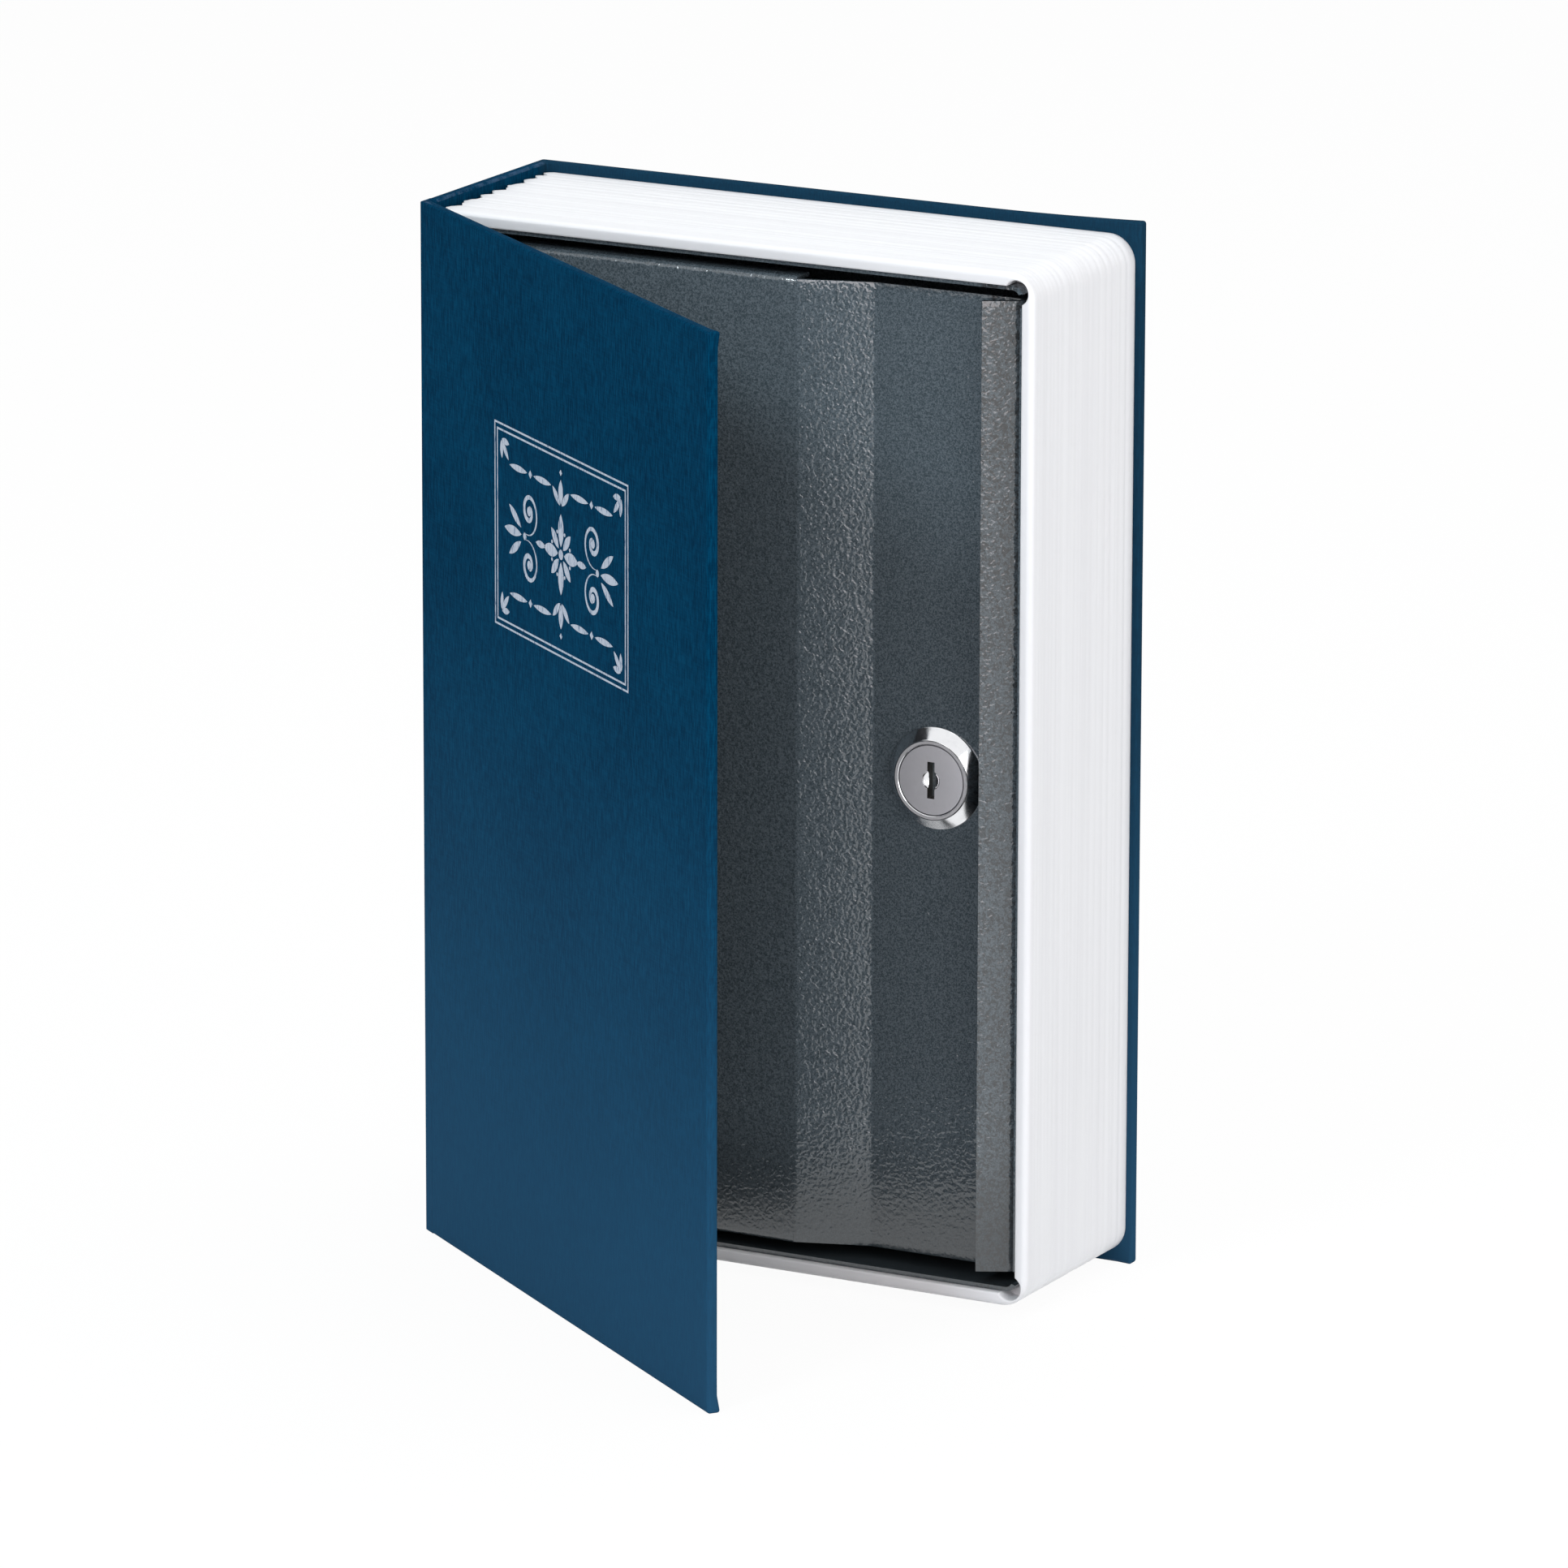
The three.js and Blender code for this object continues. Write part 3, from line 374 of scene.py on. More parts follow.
def woven_cloth():
    """Book cloth: slubby upright threads over fine level ones, with a painted reflection of the
    white floor at its foot and painted shade on the back cover.
    """
    material, shader, place = finish("book_cloth", {"Specular IOR Level": 0.01})
    upright = place.stretched(1, 1, 0.10).noise(3100, 3, 0.62)
    level = place.stretched(0.06, 0.06, 1).noise(3300, 2, 0.5)
    slubs = place.stretched(1, 1, 0.06).noise(1300, 4, 0.7).between(0.60, 0.80)
    patches = place.noise(28, 3, 0.55)
    thread = 0.82 * upright + 0.18 * level
    tone = thread.between(0.38, 0.63) * 0.5 + patches.between(0.3, 0.75) * 0.12 + slubs * 0.38
    # Painted reflection of the floor, strongest at the foot of the cloth.
    painted_foot = 1 - place.part("Z").between(*CLOTH_FLOOR_REFLECTION_SPAN)
    edge = place.node("NewGeometry", "Pointiness", {}).between(0.53, 0.60)
    rub = edge * place.noise(420, 3, 0.6).between(0.36, 0.62)
    # Painted shade over the back cover.
    back = place.part("Y").between(*CLOTH_BACK_SHADE_SPAN)
    colour = tone.mix(CLOTH_DARK, CLOTH_LIGHT)
    colour = (back * 0.6).mix(colour, CLOTH_BACK_SHADE)
    colour = (painted_foot * 0.75).mix(colour, CLOTH_FLOOR_REFLECTION)
    (rub * 0.45).mix(colour, CLOTH_WORN).into(shader, "Base Color")
    (0.80 - 0.12 * tone).into(shader, "Roughness")
    height = thread * 0.8 + slubs * 0.35
    height.bump(0.00006, 0.7).into(shader, "Normal")
    return material


book_cloth = woven_cloth()

case_outline = [
    (0, SPINE_FRONT, SPINE_FRONT_RADIUS), (COVER_THICKNESS, SPINE_FRONT, EDGE_RADIUS),
    (COVER_THICKNESS, BACK_INSIDE, CASE_INNER_RADIUS), (BOOK_WIDTH, BACK_INSIDE, EDGE_RADIUS),
    (BOOK_WIDTH, BOOK_THICKNESS, EDGE_RADIUS), (0, BOOK_THICKNESS, CASE_CORNER_RADIUS),
]


def eased_case(point):
    """The case's cloth isn't quite flat. The back cover's corners are folded thick, and its
    upper one is pulled up a little."""
    x, y, z = point
    if y > BACK_INSIDE - 0.1:
        outward = max(0.0, x / BOOK_WIDTH - LIFT_FROM_WIDTH) / (1 - LIFT_FROM_WIDTH)
        upward = max(0.0, z / BOOK_HEIGHT - LIFT_FROM_HEIGHT) / (1 - LIFT_FROM_HEIGHT)
        z += CORNER_LIFT * outward ** 2 * upward
        if y < BACK_MIDDLE:
            y -= corner_fold(x, z)
    wave = CLOTH_WAVE * noise.noise(Vector((x, y * 2, z)) * CLOTH_WAVE_RATE)
    return x + (wave if x < COVER_THICKNESS / 2 else 0), y + (wave if y > BACK_MIDDLE else 0), z


case_cover = loft(
    "case_cover",
    [[eased_case(point) for point in ring] for ring in board_rings(case_outline)],
    book_cloth)
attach(case_cover, "book")
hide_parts("case_cloth")


def raw_board():
    """Greyboard: pressed grey pulp with darker flecks."""
    material, shader, place = finish("grey_board", {"Specular IOR Level": 0.2})
    flecks = place.noise(1800, 3, 0.7).between(0.52, 0.72)
    flecks.mix(BOARD_GREY, BOARD_FLECKS).into(shader, "Base Color")
    (0.95 - 0.1 * flecks).into(shader, "Roughness")
    flecks.bump(0.00005).into(shader, "Normal")
    return material


def refinished(node, material):
    """A CAD node whose shape stays as it is, with a finish of its own."""
    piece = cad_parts[node]
    piece.data.materials.clear()
    piece.data.materials.append(material)
    return piece


grey_board = raw_board()
for name in ("spine_board", "back_board", "front_board"):
    refinished(name, grey_board)

# Front cover
# One greyboard under the same cloth, 154 x 240 mm, which turns on the fold of cloth at the
# spine. Its free corners are folded thick, and it stands about 37 degrees open.
COVER_AJAR = math.radians(36.7)
COVER_START = 0.6
TAIL_FLARE = 0.55
FLARE_WIDTH = 3.0
FLARE_HEIGHT = 4.5
COVER_BOW = 0.10
COVER_BOW_RATE = 0.022


def on_cover(along, depth, z):
    """A place on the cover as it stands: along it from the hinge, and in from its outer face."""
    c, s = math.cos(COVER_AJAR), math.sin(COVER_AJAR)
    return along * c + depth * s, depth * c - along * s, z


def eased_cover(point):
    """A place on the cover, which bows a little, is thick at its folded corners and flares at
    the tail of its free edge."""
    along, depth, z = point
    if depth > COVER_THICKNESS / 2:
        depth += corner_fold(along, z)
    free = max(0.0, 1 - (BOOK_WIDTH - along) / FLARE_WIDTH)
    tail = max(0.0, 1 - z / FLARE_HEIGHT)
    along += TAIL_FLARE * free * tail * tail
    middle = math.sin(math.pi * along / BOOK_WIDTH) * math.sin(math.pi * z / BOOK_HEIGHT)
    depth += COVER_BOW * middle * noise.noise(Vector((along, 3.0, z)) * COVER_BOW_RATE)
    return on_cover(along, depth, z)


def four_corners(left, low, right, high, radius):
    """Corners of a rectangle with one radius, counter-clockwise."""
    return [(left, low, radius), (right, low, radius), (right, high, radius), (left, high, radius)]


cover_outline = four_corners(COVER_START, 0, BOOK_WIDTH, COVER_THICKNESS, EDGE_RADIUS)
cover = loft(
    "front_cover_case",
    [[eased_cover(point) for point in ring] for ring in board_rings(cover_outline)],
    book_cloth)
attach(cover, "front_cover")
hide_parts("front_cloth")

# Cloth hinge
# The cloth runs on from the spine round the corner to the cover, turned in double at head and
# tail. One strip of it lies along the spine board's face, and the other runs on round the corner
# onto the cover.
STRIP_THICKNESS = 0.5
STRIP_PROUD = 0.03
STRIP_EDGE = 0.24
STRIP_SHORT = 0.1
STRIP_SPACING = 8.0
STRIP_BACK = 4.2
STRIP_JOIN = 1.45
STRIP_LAP = 0.1
STRIP_OVER = 3.6
STRIP_TURN = 0.55
TURN_STEPS = 8
OVER_STEPS = 10
SPINE_FOLD = 2.55
FOLD_HALF = 0.9


def hinge_strip(name, path, start, end):
    """A strip of doubled cloth along a path of (outer place, outward direction)."""
    section = rounded(four_corners(
        STRIP_SHORT, -STRIP_THICKNESS, BOOK_HEIGHT - STRIP_SHORT, STRIP_PROUD, STRIP_EDGE),
        STRIP_SPACING)
    rings = [[(outer.x + out.x * proud, outer.y + out.y * proud, z) for z, proud in section]
             for outer, out in path]
    strip = loft(name, rings, book_cloth)
    at(*start)
    at(*end)
    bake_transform(strip)
    return strip


def along_spine(first, last, steps):
    """A path on the spine's outer face, from one depth to another."""
    return [(Vector((0, first + (last - first) * step / steps)), Vector((-1, 0)))
            for step in range(steps + 1)]


cover_out = Vector((-math.sin(COVER_AJAR), -math.cos(COVER_AJAR)))
turn_angle = math.radians(90) - COVER_AJAR
turn_reach = STRIP_TURN * math.tan(turn_angle / 2)
turn_centre = Vector((STRIP_TURN, turn_reach))
round_corner = []
for step in range(TURN_STEPS + 1):
    a = math.pi + turn_angle * step / TURN_STEPS
    out = Vector((math.cos(a), math.sin(a)))
    round_corner.append((turn_centre + STRIP_TURN * out, out))
on_board = []
for step in range(1, OVER_STEPS + 1):
    along = turn_reach + (STRIP_OVER - turn_reach) * step / OVER_STEPS
    on_board.append((Vector(on_cover(along, 0, 0)[:2]), cover_out))
spine_strip = hinge_strip(
    "hinge_cloth_spine", along_spine(STRIP_BACK, STRIP_JOIN - STRIP_LAP, 16),
    (0, SPINE_FOLD + FOLD_HALF, 0), (0, SPINE_FOLD - FOLD_HALF, 0))
cover_strip = hinge_strip(
    "hinge_cloth_cover", along_spine(STRIP_JOIN, turn_reach, 5)[:-1] + round_corner + on_board,
    (0, FOLD_HALF, 0), on_cover(FOLD_HALF, 0, 0))
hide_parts("hinge_crease")

# Silver frame on the cover
# Two thin lines of hot-pressed silver foil round the title's place, with a plain printer's
# ornament in it. The foil is worn through in specks, where the cloth shows.
FRAME_MIDDLE = 77.0
FRAME_LOW = 152.0
FRAME_HIGH = 198.3
FRAME_HALF_WIDTH = 36.0
LINE_WIDTH = 0.45
LINE_GAP = 1.35
FOIL_PROUD = 0.05
FOIL_SINK = 0.12
FOIL_SILVER = (0.40, 0.46, 0.55, 1)
FOIL_WORN = (0.03, 0.09, 0.18, 1)


def silver_foil():
    """Silver foil pressed on the weave, and rubbed off the tops of the threads."""
    material, shader, place = finish("silver_foil", {})
    threads = place.stretched(1, 1, 0.15).noise(2400, 3, 0.65)
    worn = threads.between(0.52, 0.68)
    worn.mix(FOIL_SILVER, FOIL_WORN).into(shader, "Base Color")
    (0.65 * (1 - worn)).into(shader, "Metallic")
    (0.42 + 0.3 * worn).into(shader, "Roughness")
    threads.bump(0.00004, 0.6).into(shader, "Normal")
    return material


foil = silver_foil()


def foil_plate(name, outlines):
    """Flat foil shapes, each a closed line of (along, z), standing just proud of the cloth."""
    points, faces = [], []
    for outline in outlines:
        first, count = len(points), len(outline)
        for depth in (-FOIL_PROUD, FOIL_SINK):
            points += [eased_cover((along, depth, z)) for along, z in outline]
        faces.append(tuple(range(first, first + count)))
        faces.append(tuple(range(first + count, first + 2 * count))[::-1])
        for i in range(count):
            j = (i + 1) % count
            faces.append((first + i, first + count + i, first + count + j, first + j))
    piece = made(name, points, faces, foil)
    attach(piece, "front_cover")


def frame_sides(inset, width):
    """The four mitred sides of a rectangular line."""
    def corners(within):
        left = FRAME_MIDDLE - FRAME_HALF_WIDTH + within
        right = FRAME_MIDDLE + FRAME_HALF_WIDTH - within
        low, high = FRAME_LOW + within, FRAME_HIGH - within
        return [(left, low), (right, low), (right, high), (left, high)]
    outer, inner = corners(inset), corners(inset + width)
    return [[outer[i], outer[(i + 1) % 4], inner[(i + 1) % 4], inner[i]] for i in range(4)]


foil_plate("title_frame_outer", frame_sides(0, LINE_WIDTH))
foil_plate("title_frame_inner", frame_sides(LINE_GAP, LINE_WIDTH))


def leaf(middle, angle, length, width, away=0.0, steps=10):
    """A pointed leaf that starts away from the middle and lies at an angle in degrees."""
    outline = []
    for side in (1, -1):
        for step in range(steps):
            t = step / steps if side > 0 else 1 - step / steps
            outline.append((away + length * t, side * width / 2 * math.sin(math.pi * t) ** 0.8))
    c, s = math.cos(math.radians(angle)), math.sin(math.radians(angle))
    return [(middle[0] + x * c - y * s, middle[1] + x * s + y * c) for x, y in outline]


def dot(middle, radius, steps=20):
    """A round dot, or with four steps a lozenge."""
    turns = [2 * math.pi * i / steps for i in range(steps)]
    return [(middle[0] + radius * math.cos(a), middle[1] + radius * math.sin(a)) for a in turns]


def scroll(middle, radius, start, turns, width, tail, flip, steps=46):
    """A line that winds out of a knob in its middle, swells, and runs out in a pointed tail."""
    line = []
    for step in range(steps + 1):
        t = step / steps
        a = math.radians(start) + 2 * math.pi * turns * t
        reach = radius * (0.20 + 0.80 * t) + tail * max(0.0, t - 0.72) ** 1.5
        swelling = 0.55 + 0.45 * math.sin(math.pi * min(1.0, t * 1.25))
        pointed = min(1.0, 6 * (1 - t) + 0.08)
        line.append((Vector((middle[0] + reach * math.cos(a) * flip,
                             middle[1] + reach * math.sin(a))),
                     width * swelling * pointed))
    sides = [[], []]
    for i, (point, wide) in enumerate(line):
        along = (line[min(i + 1, steps)][0] - line[max(i - 1, 0)][0]).normalized()
        across = Vector((-along.y, along.x)) * wide / 2
        sides[0].append(tuple(point + across))
        sides[1].insert(0, tuple(point - across))
    return sides[0] + sides[1]


ROSETTE_DOTS = 5.2
EYE_OUT = 17.0
KNOB_RISE = 6.1
ROW_RISE = 14.6
SPRIG_MARGIN = 3.6
SPRIG_ACROSS = FRAME_HALF_WIDTH - SPRIG_MARGIN
SPRIG_RISE = (FRAME_HIGH - FRAME_LOW) / 2 - SPRIG_MARGIN
middle = Vector((FRAME_MIDDLE, (FRAME_LOW + FRAME_HIGH) / 2))
ornament = [leaf(middle, 45 * i, 5.6 if i % 2 else 7.4, 2.2 if i % 2 else 2.9, 1.7)
            for i in range(8)]
ornament.append(dot(middle, 1.15))
for k in range(8):
    a = math.radians(22.5 + 45 * k)
    ornament.append(dot(middle + ROSETTE_DOTS * Vector((math.cos(a), math.sin(a))), 0.42))
for side in (-1, 1):
    eye = middle + Vector((side * EYE_OUT, 0))
    outward, inward = 90 - side * 90, 90 + side * 90
    for up in (-1, 1):
        knob = eye + Vector((side * 0.2, up * KNOB_RISE))
        upper_scroll = scroll(
            (knob.x, middle.y + KNOB_RISE), 4.6, 100, 1.55, 1.15, 9.0, side)
        ornament.append([(x, z if up > 0 else 2 * middle.y - z) for x, z in upper_scroll])
        ornament.append(dot(knob, 1.05))
        slanted = 90 - side * (90 - up * 32)
        ornament.append(leaf(eye + Vector((side * 4.6, up * 1.6)), slanted, 7.6, 1.9))
        ornament.append(leaf(eye + Vector((-side * 2.2, up * ROW_RISE)), inward, 9.6, 1.5))
        ornament.append(leaf(eye + Vector((side * 1.2, up * ROW_RISE)), outward, 9.6, 1.5))
        ornament.append(dot(eye + Vector((-side * 0.5, up * ROW_RISE)), 0.95, 4))
        sprig = middle + Vector((side * SPRIG_ACROSS, up * SPRIG_RISE))
        to_middle = math.degrees(math.atan2(-up, -side))
        ornament += [leaf(sprig, to_middle + turn, 5.4 if turn == 0 else 4.0, 1.5, 0.4)
                     for turn in (-38, 0, 38)]
    ornament.append(leaf(eye + Vector((side * 4.4, 0)), outward, 9.2, 2.2))
    ornament.append(dot(eye + Vector((side * 2.6, 0)), 0.8))
    ornament.append(leaf(eye + Vector((-side * 3.4, 0)), inward, 5.2, 1.6))
for up in (-1, 1):
    ornament.append(leaf(middle + Vector((0, up * 11.2)), 90 * up, 5.6, 2.4))
    ornament += [leaf(middle + Vector((0, up * 10.6)), 90 * up + turn, 5.4, 1.7, 0.6)
                 for turn in (-48, 48)]
    ornament.append(dot(middle + Vector((0, up * 18.4)), 0.7, 4))
foil_plate("title_ornament", ornament)

# Endpaper
# Matt charcoal paper pasted down inside the front cover, over the turned-in cloth. It is guessed,
# since the photograph doesn't show it but for its dark mirror image in the door, and its dark
# colour is partly painted shade: it stands in for the shade on the cover's inside, which the door
# mirrors.
PAPER_DARK = (0.018, 0.019, 0.022, 1)
PAPER_LIGHT = (0.045, 0.046, 0.052, 1)


def endpaper_finish():
    """Uncoated charcoal paper, mottled and fibrous. Its dark tone is partly painted shade."""
    material, shader, place = finish("endpaper", {"Specular IOR Level": 0.25})
    fibres = place.noise(900, 4, 0.65)
    mottle = place.noise(55, 3, 0.5)
    (0.5 * fibres + 0.5 * mottle).between(0.3, 0.7).mix(PAPER_DARK, PAPER_LIGHT).into(
        shader, "Base Color")
    (0.78 + 0.14 * fibres).into(shader, "Roughness")
    fibres.bump(0.00004, 0.5).into(shader, "Normal")
    return material


refinished("front_endpaper", endpaper_finish())

# Page block
# One white moulding that imitates page edges: shallow uneven pleats along its open edges, a
# rounded front lip, and bundles of sheets that step in and out along the spine.
PAGES_LEFT = 2.8
PAGES_RIGHT = 152.4
PAGES_FRONT = 3.2
PAGES_BACK = 52.8
PAGES_LOW = 2.3
PAGES_HIGH = 237.7
PAGES_CORNER = 6.5
PAGES_CORNER_STEPS = 14
LIP_RADIUS = 1.4
LIP_STEPS = 8
TOOTH_DEPTH = 2.0
BUNDLES = (7.4, 9.4, 5.2, 5.6, 8.8, 6.0, 4.4, 3.2)
BUNDLE_OUTLINE = ((0, 1), (0.2, 0.45), (0.3, 0.5), (0.42, 0.06), (0.52, 0), (0.96, 0.85), (1, 1))
LEAF_STEP = 0.2
BROAD_PLEAT = ((0.07, 0.13), (0.7, 1.1), (1.8, 3.4))
FINE_PLEAT = ((0.02, 0.045), (0.35, 0.6), (1.0, 2.2))
BROAD_SHARE = 0.45
FIRST_PLEAT = 1.2
LAST_PLEAT = 0.8
SPINE_LIP_SHARE = 0.4
OPENING_LEFT = 7.0
OPENING_RIGHT = 149.4
OPENING_LOW = 5.3
OPENING_HIGH = 234.7
OPENING_CORNER = 3.1
RELIEF_RADIUS = 2.85
RELIEF_DEPTH = 5.0
RELIEF_IN = 1.35
RELIEF_DOWN = 1.4
LIP_INNER_RADIUS = 0.5
PAGES_SHARP_ANGLE = 40
PAGE_SHADE = (0.715, 0.718, 0.735, 1)
PAGE_WHITE = (0.745, 0.75, 0.765, 1)
PAGE_SCUFF = (0.69, 0.685, 0.68, 1)

draw = random.Random(11)
pleats = []
depth = PAGES_FRONT + LIP_RADIUS + FIRST_PLEAT
while depth < PAGES_BACK - LAST_PLEAT:
    insets, widths, gaps = BROAD_PLEAT if draw.random() < BROAD_SHARE else FINE_PLEAT
    pleats.append((depth, draw.uniform(*insets), draw.uniform(*widths)))
    depth += draw.uniform(*gaps)


def pleat_inset(y):
    """How far the page edges are drawn in at one depth."""
    if y < PAGES_FRONT + LIP_RADIUS:
        rise = 1 - (y - PAGES_FRONT) / LIP_RADIUS
        return LIP_RADIUS * (1 - math.sqrt(max(0.0, 1 - rise * rise)))
    return sum(deep * math.exp(-((y - middle) / wide) ** 2) for middle, deep, wide in pleats)


def bundle_edge(y):
    """Where the spine side of the page block is at one depth."""
    scale = (PAGES_BACK - PAGES_FRONT) / sum(BUNDLES)
    start = PAGES_FRONT
    for bundle in BUNDLES:
        width = bundle * scale
        if y <= start + width + 1e-6:
            t = (y - start) / width
            for (t0, d0), (t1, d1) in zip(BUNDLE_OUTLINE, BUNDLE_OUTLINE[1:]):
                if t <= t1 + 1e-6:
                    return PAGES_LEFT + TOOTH_DEPTH * (d0 + (d1 - d0) * (t - t0) / (t1 - t0))
        start += width
    return PAGES_LEFT + TOOTH_DEPTH


def page_ring(y):
    """The page block's outline at one depth, from its lower spine corner to its upper one."""
    inset = pleat_inset(y)
    left = bundle_edge(y) + (inset if y < PAGES_FRONT + LIP_RADIUS else 0) * SPINE_LIP_SHARE
    right, low, high = PAGES_RIGHT - inset, PAGES_LOW + inset, PAGES_HIGH - inset
    radius = PAGES_CORNER - inset
    ring = [(left, y, low)]
    for z, start in ((low + radius, -90), (high - radius, 0)):
        for step in range(PAGES_CORNER_STEPS + 1):
            angle = math.radians(start + 90 * step / PAGES_CORNER_STEPS)
            ring.append((right - radius + radius * math.cos(angle), y,
                         z + radius * math.sin(angle)))
    ring.append((left, y, high))
    return ring


def settled(piece, sharp_angle):
    """Applies a piece's modifiers to its mesh, and shades it again."""
    graph = bpy.context.evaluated_depsgraph_get()
    mesh = bpy.data.meshes.new_from_object(piece.evaluated_get(graph))
    piece.modifiers.clear()
    piece.data = mesh
    smooth(mesh, sharp_angle)


def cut(piece, cutter, sharp_angle=SHARP_ANGLE, keep_finish=False):
    """Takes the cutter's shape out of a piece, and removes the cutter."""
    modifier = piece.modifiers.new("cut", "BOOLEAN")
    modifier.operation = "DIFFERENCE"
    modifier.solver = "EXACT"
    modifier.object = cutter
    if keep_finish:
        modifier.material_mode = "TRANSFER"
    settled(piece, sharp_angle)
    bpy.data.objects.remove(cutter)


def flared_cutter(name, corners, back, material):
    """A cutter from the front to a depth, flared at the front to round the edge it leaves."""
    flare = [(LIP_INNER_RADIUS * (1 - math.sin(a)), LIP_INNER_RADIUS * (1 - math.cos(a)))
             for a in quarter(5)]
    places = [(LIP_INNER_RADIUS, -1.0)] + flare + [(0.0, back - PAGES_FRONT)]
    rings = [[(p.x, PAGES_FRONT + y, p.y) for p in rounded(corners, math.inf, -out, 8)]
             for out, y in places]
    return loft(name, rings, material)


def white_plastic():
    """White plastic with the faint grey lines of page edges, which follow the block's depth."""
    material, shader, place = finish("page_plastic", {
        "Specular IOR Level": 0.35, "Subsurface Weight": 0.5,
        "Subsurface Radius": (1, 1, 1), "Subsurface Scale": 0.002})
    lines = place.stretched(0.012, 1, 0.012).noise(900, 2, 0.5)
    soft = place.stretched(0.02, 1, 0.02).noise(330, 1, 0.4)
    scuffs = place.noise(180, 4, 0.7).between(0.62, 0.82)
    tone = 0.35 * lines + 0.65 * soft
    colour = tone.between(0.3, 0.7).mix(PAGE_SHADE, PAGE_WHITE)
    (scuffs * 0.3).mix(colour, PAGE_SCUFF).into(shader, "Base Color")
    (0.42 + 0.18 * scuffs + 0.1 * lines).into(shader, "Roughness")
    soft.bump(0.00006, 0.5).into(shader, "Normal")
    return material


page_plastic = white_plastic()
leaf_count = round((PAGES_BACK - PAGES_FRONT) / LEAF_STEP)
depths = [PAGES_FRONT + LIP_RADIUS * (1 - math.cos(a)) for a in quarter(LIP_STEPS)[:-1]]
depths += [y for y in (PAGES_FRONT + (PAGES_BACK - PAGES_FRONT) * k / leaf_count
                       for k in range(leaf_count + 1)) if y >= PAGES_FRONT + LIP_RADIUS]
page_block = loft(
    "page_block", [page_ring(y) for y in depths], page_plastic, sharp_angle=PAGES_SHARP_ANGLE)
opening = four_corners(
    OPENING_LEFT, OPENING_LOW, OPENING_RIGHT, OPENING_HIGH, OPENING_CORNER)
openings = [flared_cutter("opening", opening, PAGES_BACK + 1, page_plastic)]
for z in (OPENING_LOW + RELIEF_DOWN, OPENING_HIGH - RELIEF_DOWN):
    x, r = OPENING_RIGHT - RELIEF_IN, RELIEF_RADIUS
    disc = four_corners(x - r, z - r, x + r, z + r, r)
    openings.append(flared_cutter("relief", disc, PAGES_FRONT + RELIEF_DEPTH, page_plastic))
for cutter in openings:
    cut(page_block, cutter, PAGES_SHARP_ANGLE)
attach(page_block, "book")
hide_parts("page_frame")

# Steel box
# A tray of 1 mm sheet inside the page block, and the keeper welded in it, both in dark grey
# hammertone: an enamel that draws into small cells as it dries, with a metallic sheen.
HAMMER_DARK = (0.050, 0.068, 0.080, 1)
HAMMER_LIGHT = (0.122, 0.150, 0.171, 1)
# Painted shade: the pull is painted darker, most in its creases and towards its top.
HAMMER_PULL_SHADE = (0.026, 0.024, 0.023, 1)
# Painted shade: the enamel is painted darker near the door's foot, for the shaded floor that it
# mirrors there.
HAMMER_FOOT_SHADE = (0.029, 0.037, 0.042, 1)
PULL_STARTS = (0.0612, 0.0622)
PULL_ENDS = (0.0704, 0.0708)
HAMMER_FOOT_SHADE_SPAN = (0.014, 0.042)
HAMMER_HIGH_SPAN = (0.11, 0.19)
SWAY = 0.0011
SHEET_EDGE_RADIUS = 0.22


def hammertone_paint():
    """Hammertone enamel: glossy, drawn into cells about a millimetre wide. It is duller near its
    foot and painted darker there, painted shade for the shaded floor it mirrors, and it is painted
    darker along the pull, painted shade that is deepest in the pull's creases and towards its top."""
    material, shader, place = finish("hammertone", {"Specular IOR Level": 0.85, "IOR": 1.55})
    drift = place.node("TexNoise", "Color", {"Vector": place, "Scale": 600.0, "Detail": 1.0})
    bent = place.node("VectorMath", 0, {
        0: drift, 1: (SWAY, SWAY, SWAY), 2: place}, operation="MULTIPLY_ADD")
    cells = bent.node("TexVoronoi", "Distance", {
        "Vector": bent, "Scale": 760.0, "Smoothness": 0.8}, feature="SMOOTH_F1")
    swirls = bent.noise(1250, 0.6, 0.4, 0.3)
    grain = place.noise(3400, 1, 0.5)
    height = 1.0 * swirls + 0.35 * cells + 0.05 * grain
    veins = place.noise(1700, 1.0, 0.5, 0.8)
    tone = 0.5 * grain + 0.5 * veins
    across = place.part("X")
    pull = across.between(*PULL_STARTS) * (1 - across.between(*PULL_ENDS))
    # Noise that places the pull's painted shade in its creases.
    crease_shade = place.noise(900, 2, 0.5, 1.2).between(0.46, 0.60)
    up = place.part("Z")
    # Painted shade near the foot, where the enamel is also rougher and less bumpy.
    painted_foot = 1 - up.between(*HAMMER_FOOT_SHADE_SPAN)
    high = up.between(*HAMMER_HIGH_SPAN)
    colour = tone.between(0.34, 0.66).mix(HAMMER_DARK, HAMMER_LIGHT)
    colour = (painted_foot * 0.75).mix(colour, HAMMER_FOOT_SHADE)
    # Painted shade along the pull.
    pull_shade = pull * (0.12 + 0.22 * high + 0.5 * crease_shade)
    pull_shade.mix(colour, HAMMER_PULL_SHADE).into(shader, "Base Color")
    (0.06 + 0.04 * grain + 0.13 * painted_foot).into(shader, "Roughness")
    (height * (1 - 0.5 * painted_foot)).bump(0.00014, 1.0).into(shader, "Normal")
    return material


hammertone = hammertone_paint()


def round_edges(piece, radius, angle):
    """Rounds the edges that turn by more than an angle in degrees."""
    modifier = piece.modifiers.new("edges", "BEVEL")
    modifier.width = radius * MM
    modifier.segments = 2
    modifier.limit_method = "ANGLE"
    modifier.angle_limit = math.radians(angle)


def edged(node, material, radius=SHEET_EDGE_RADIUS):
    """A CAD node with its finish and the small rounding of its edges."""
    round_edges(refinished(node, material), radius, 40)


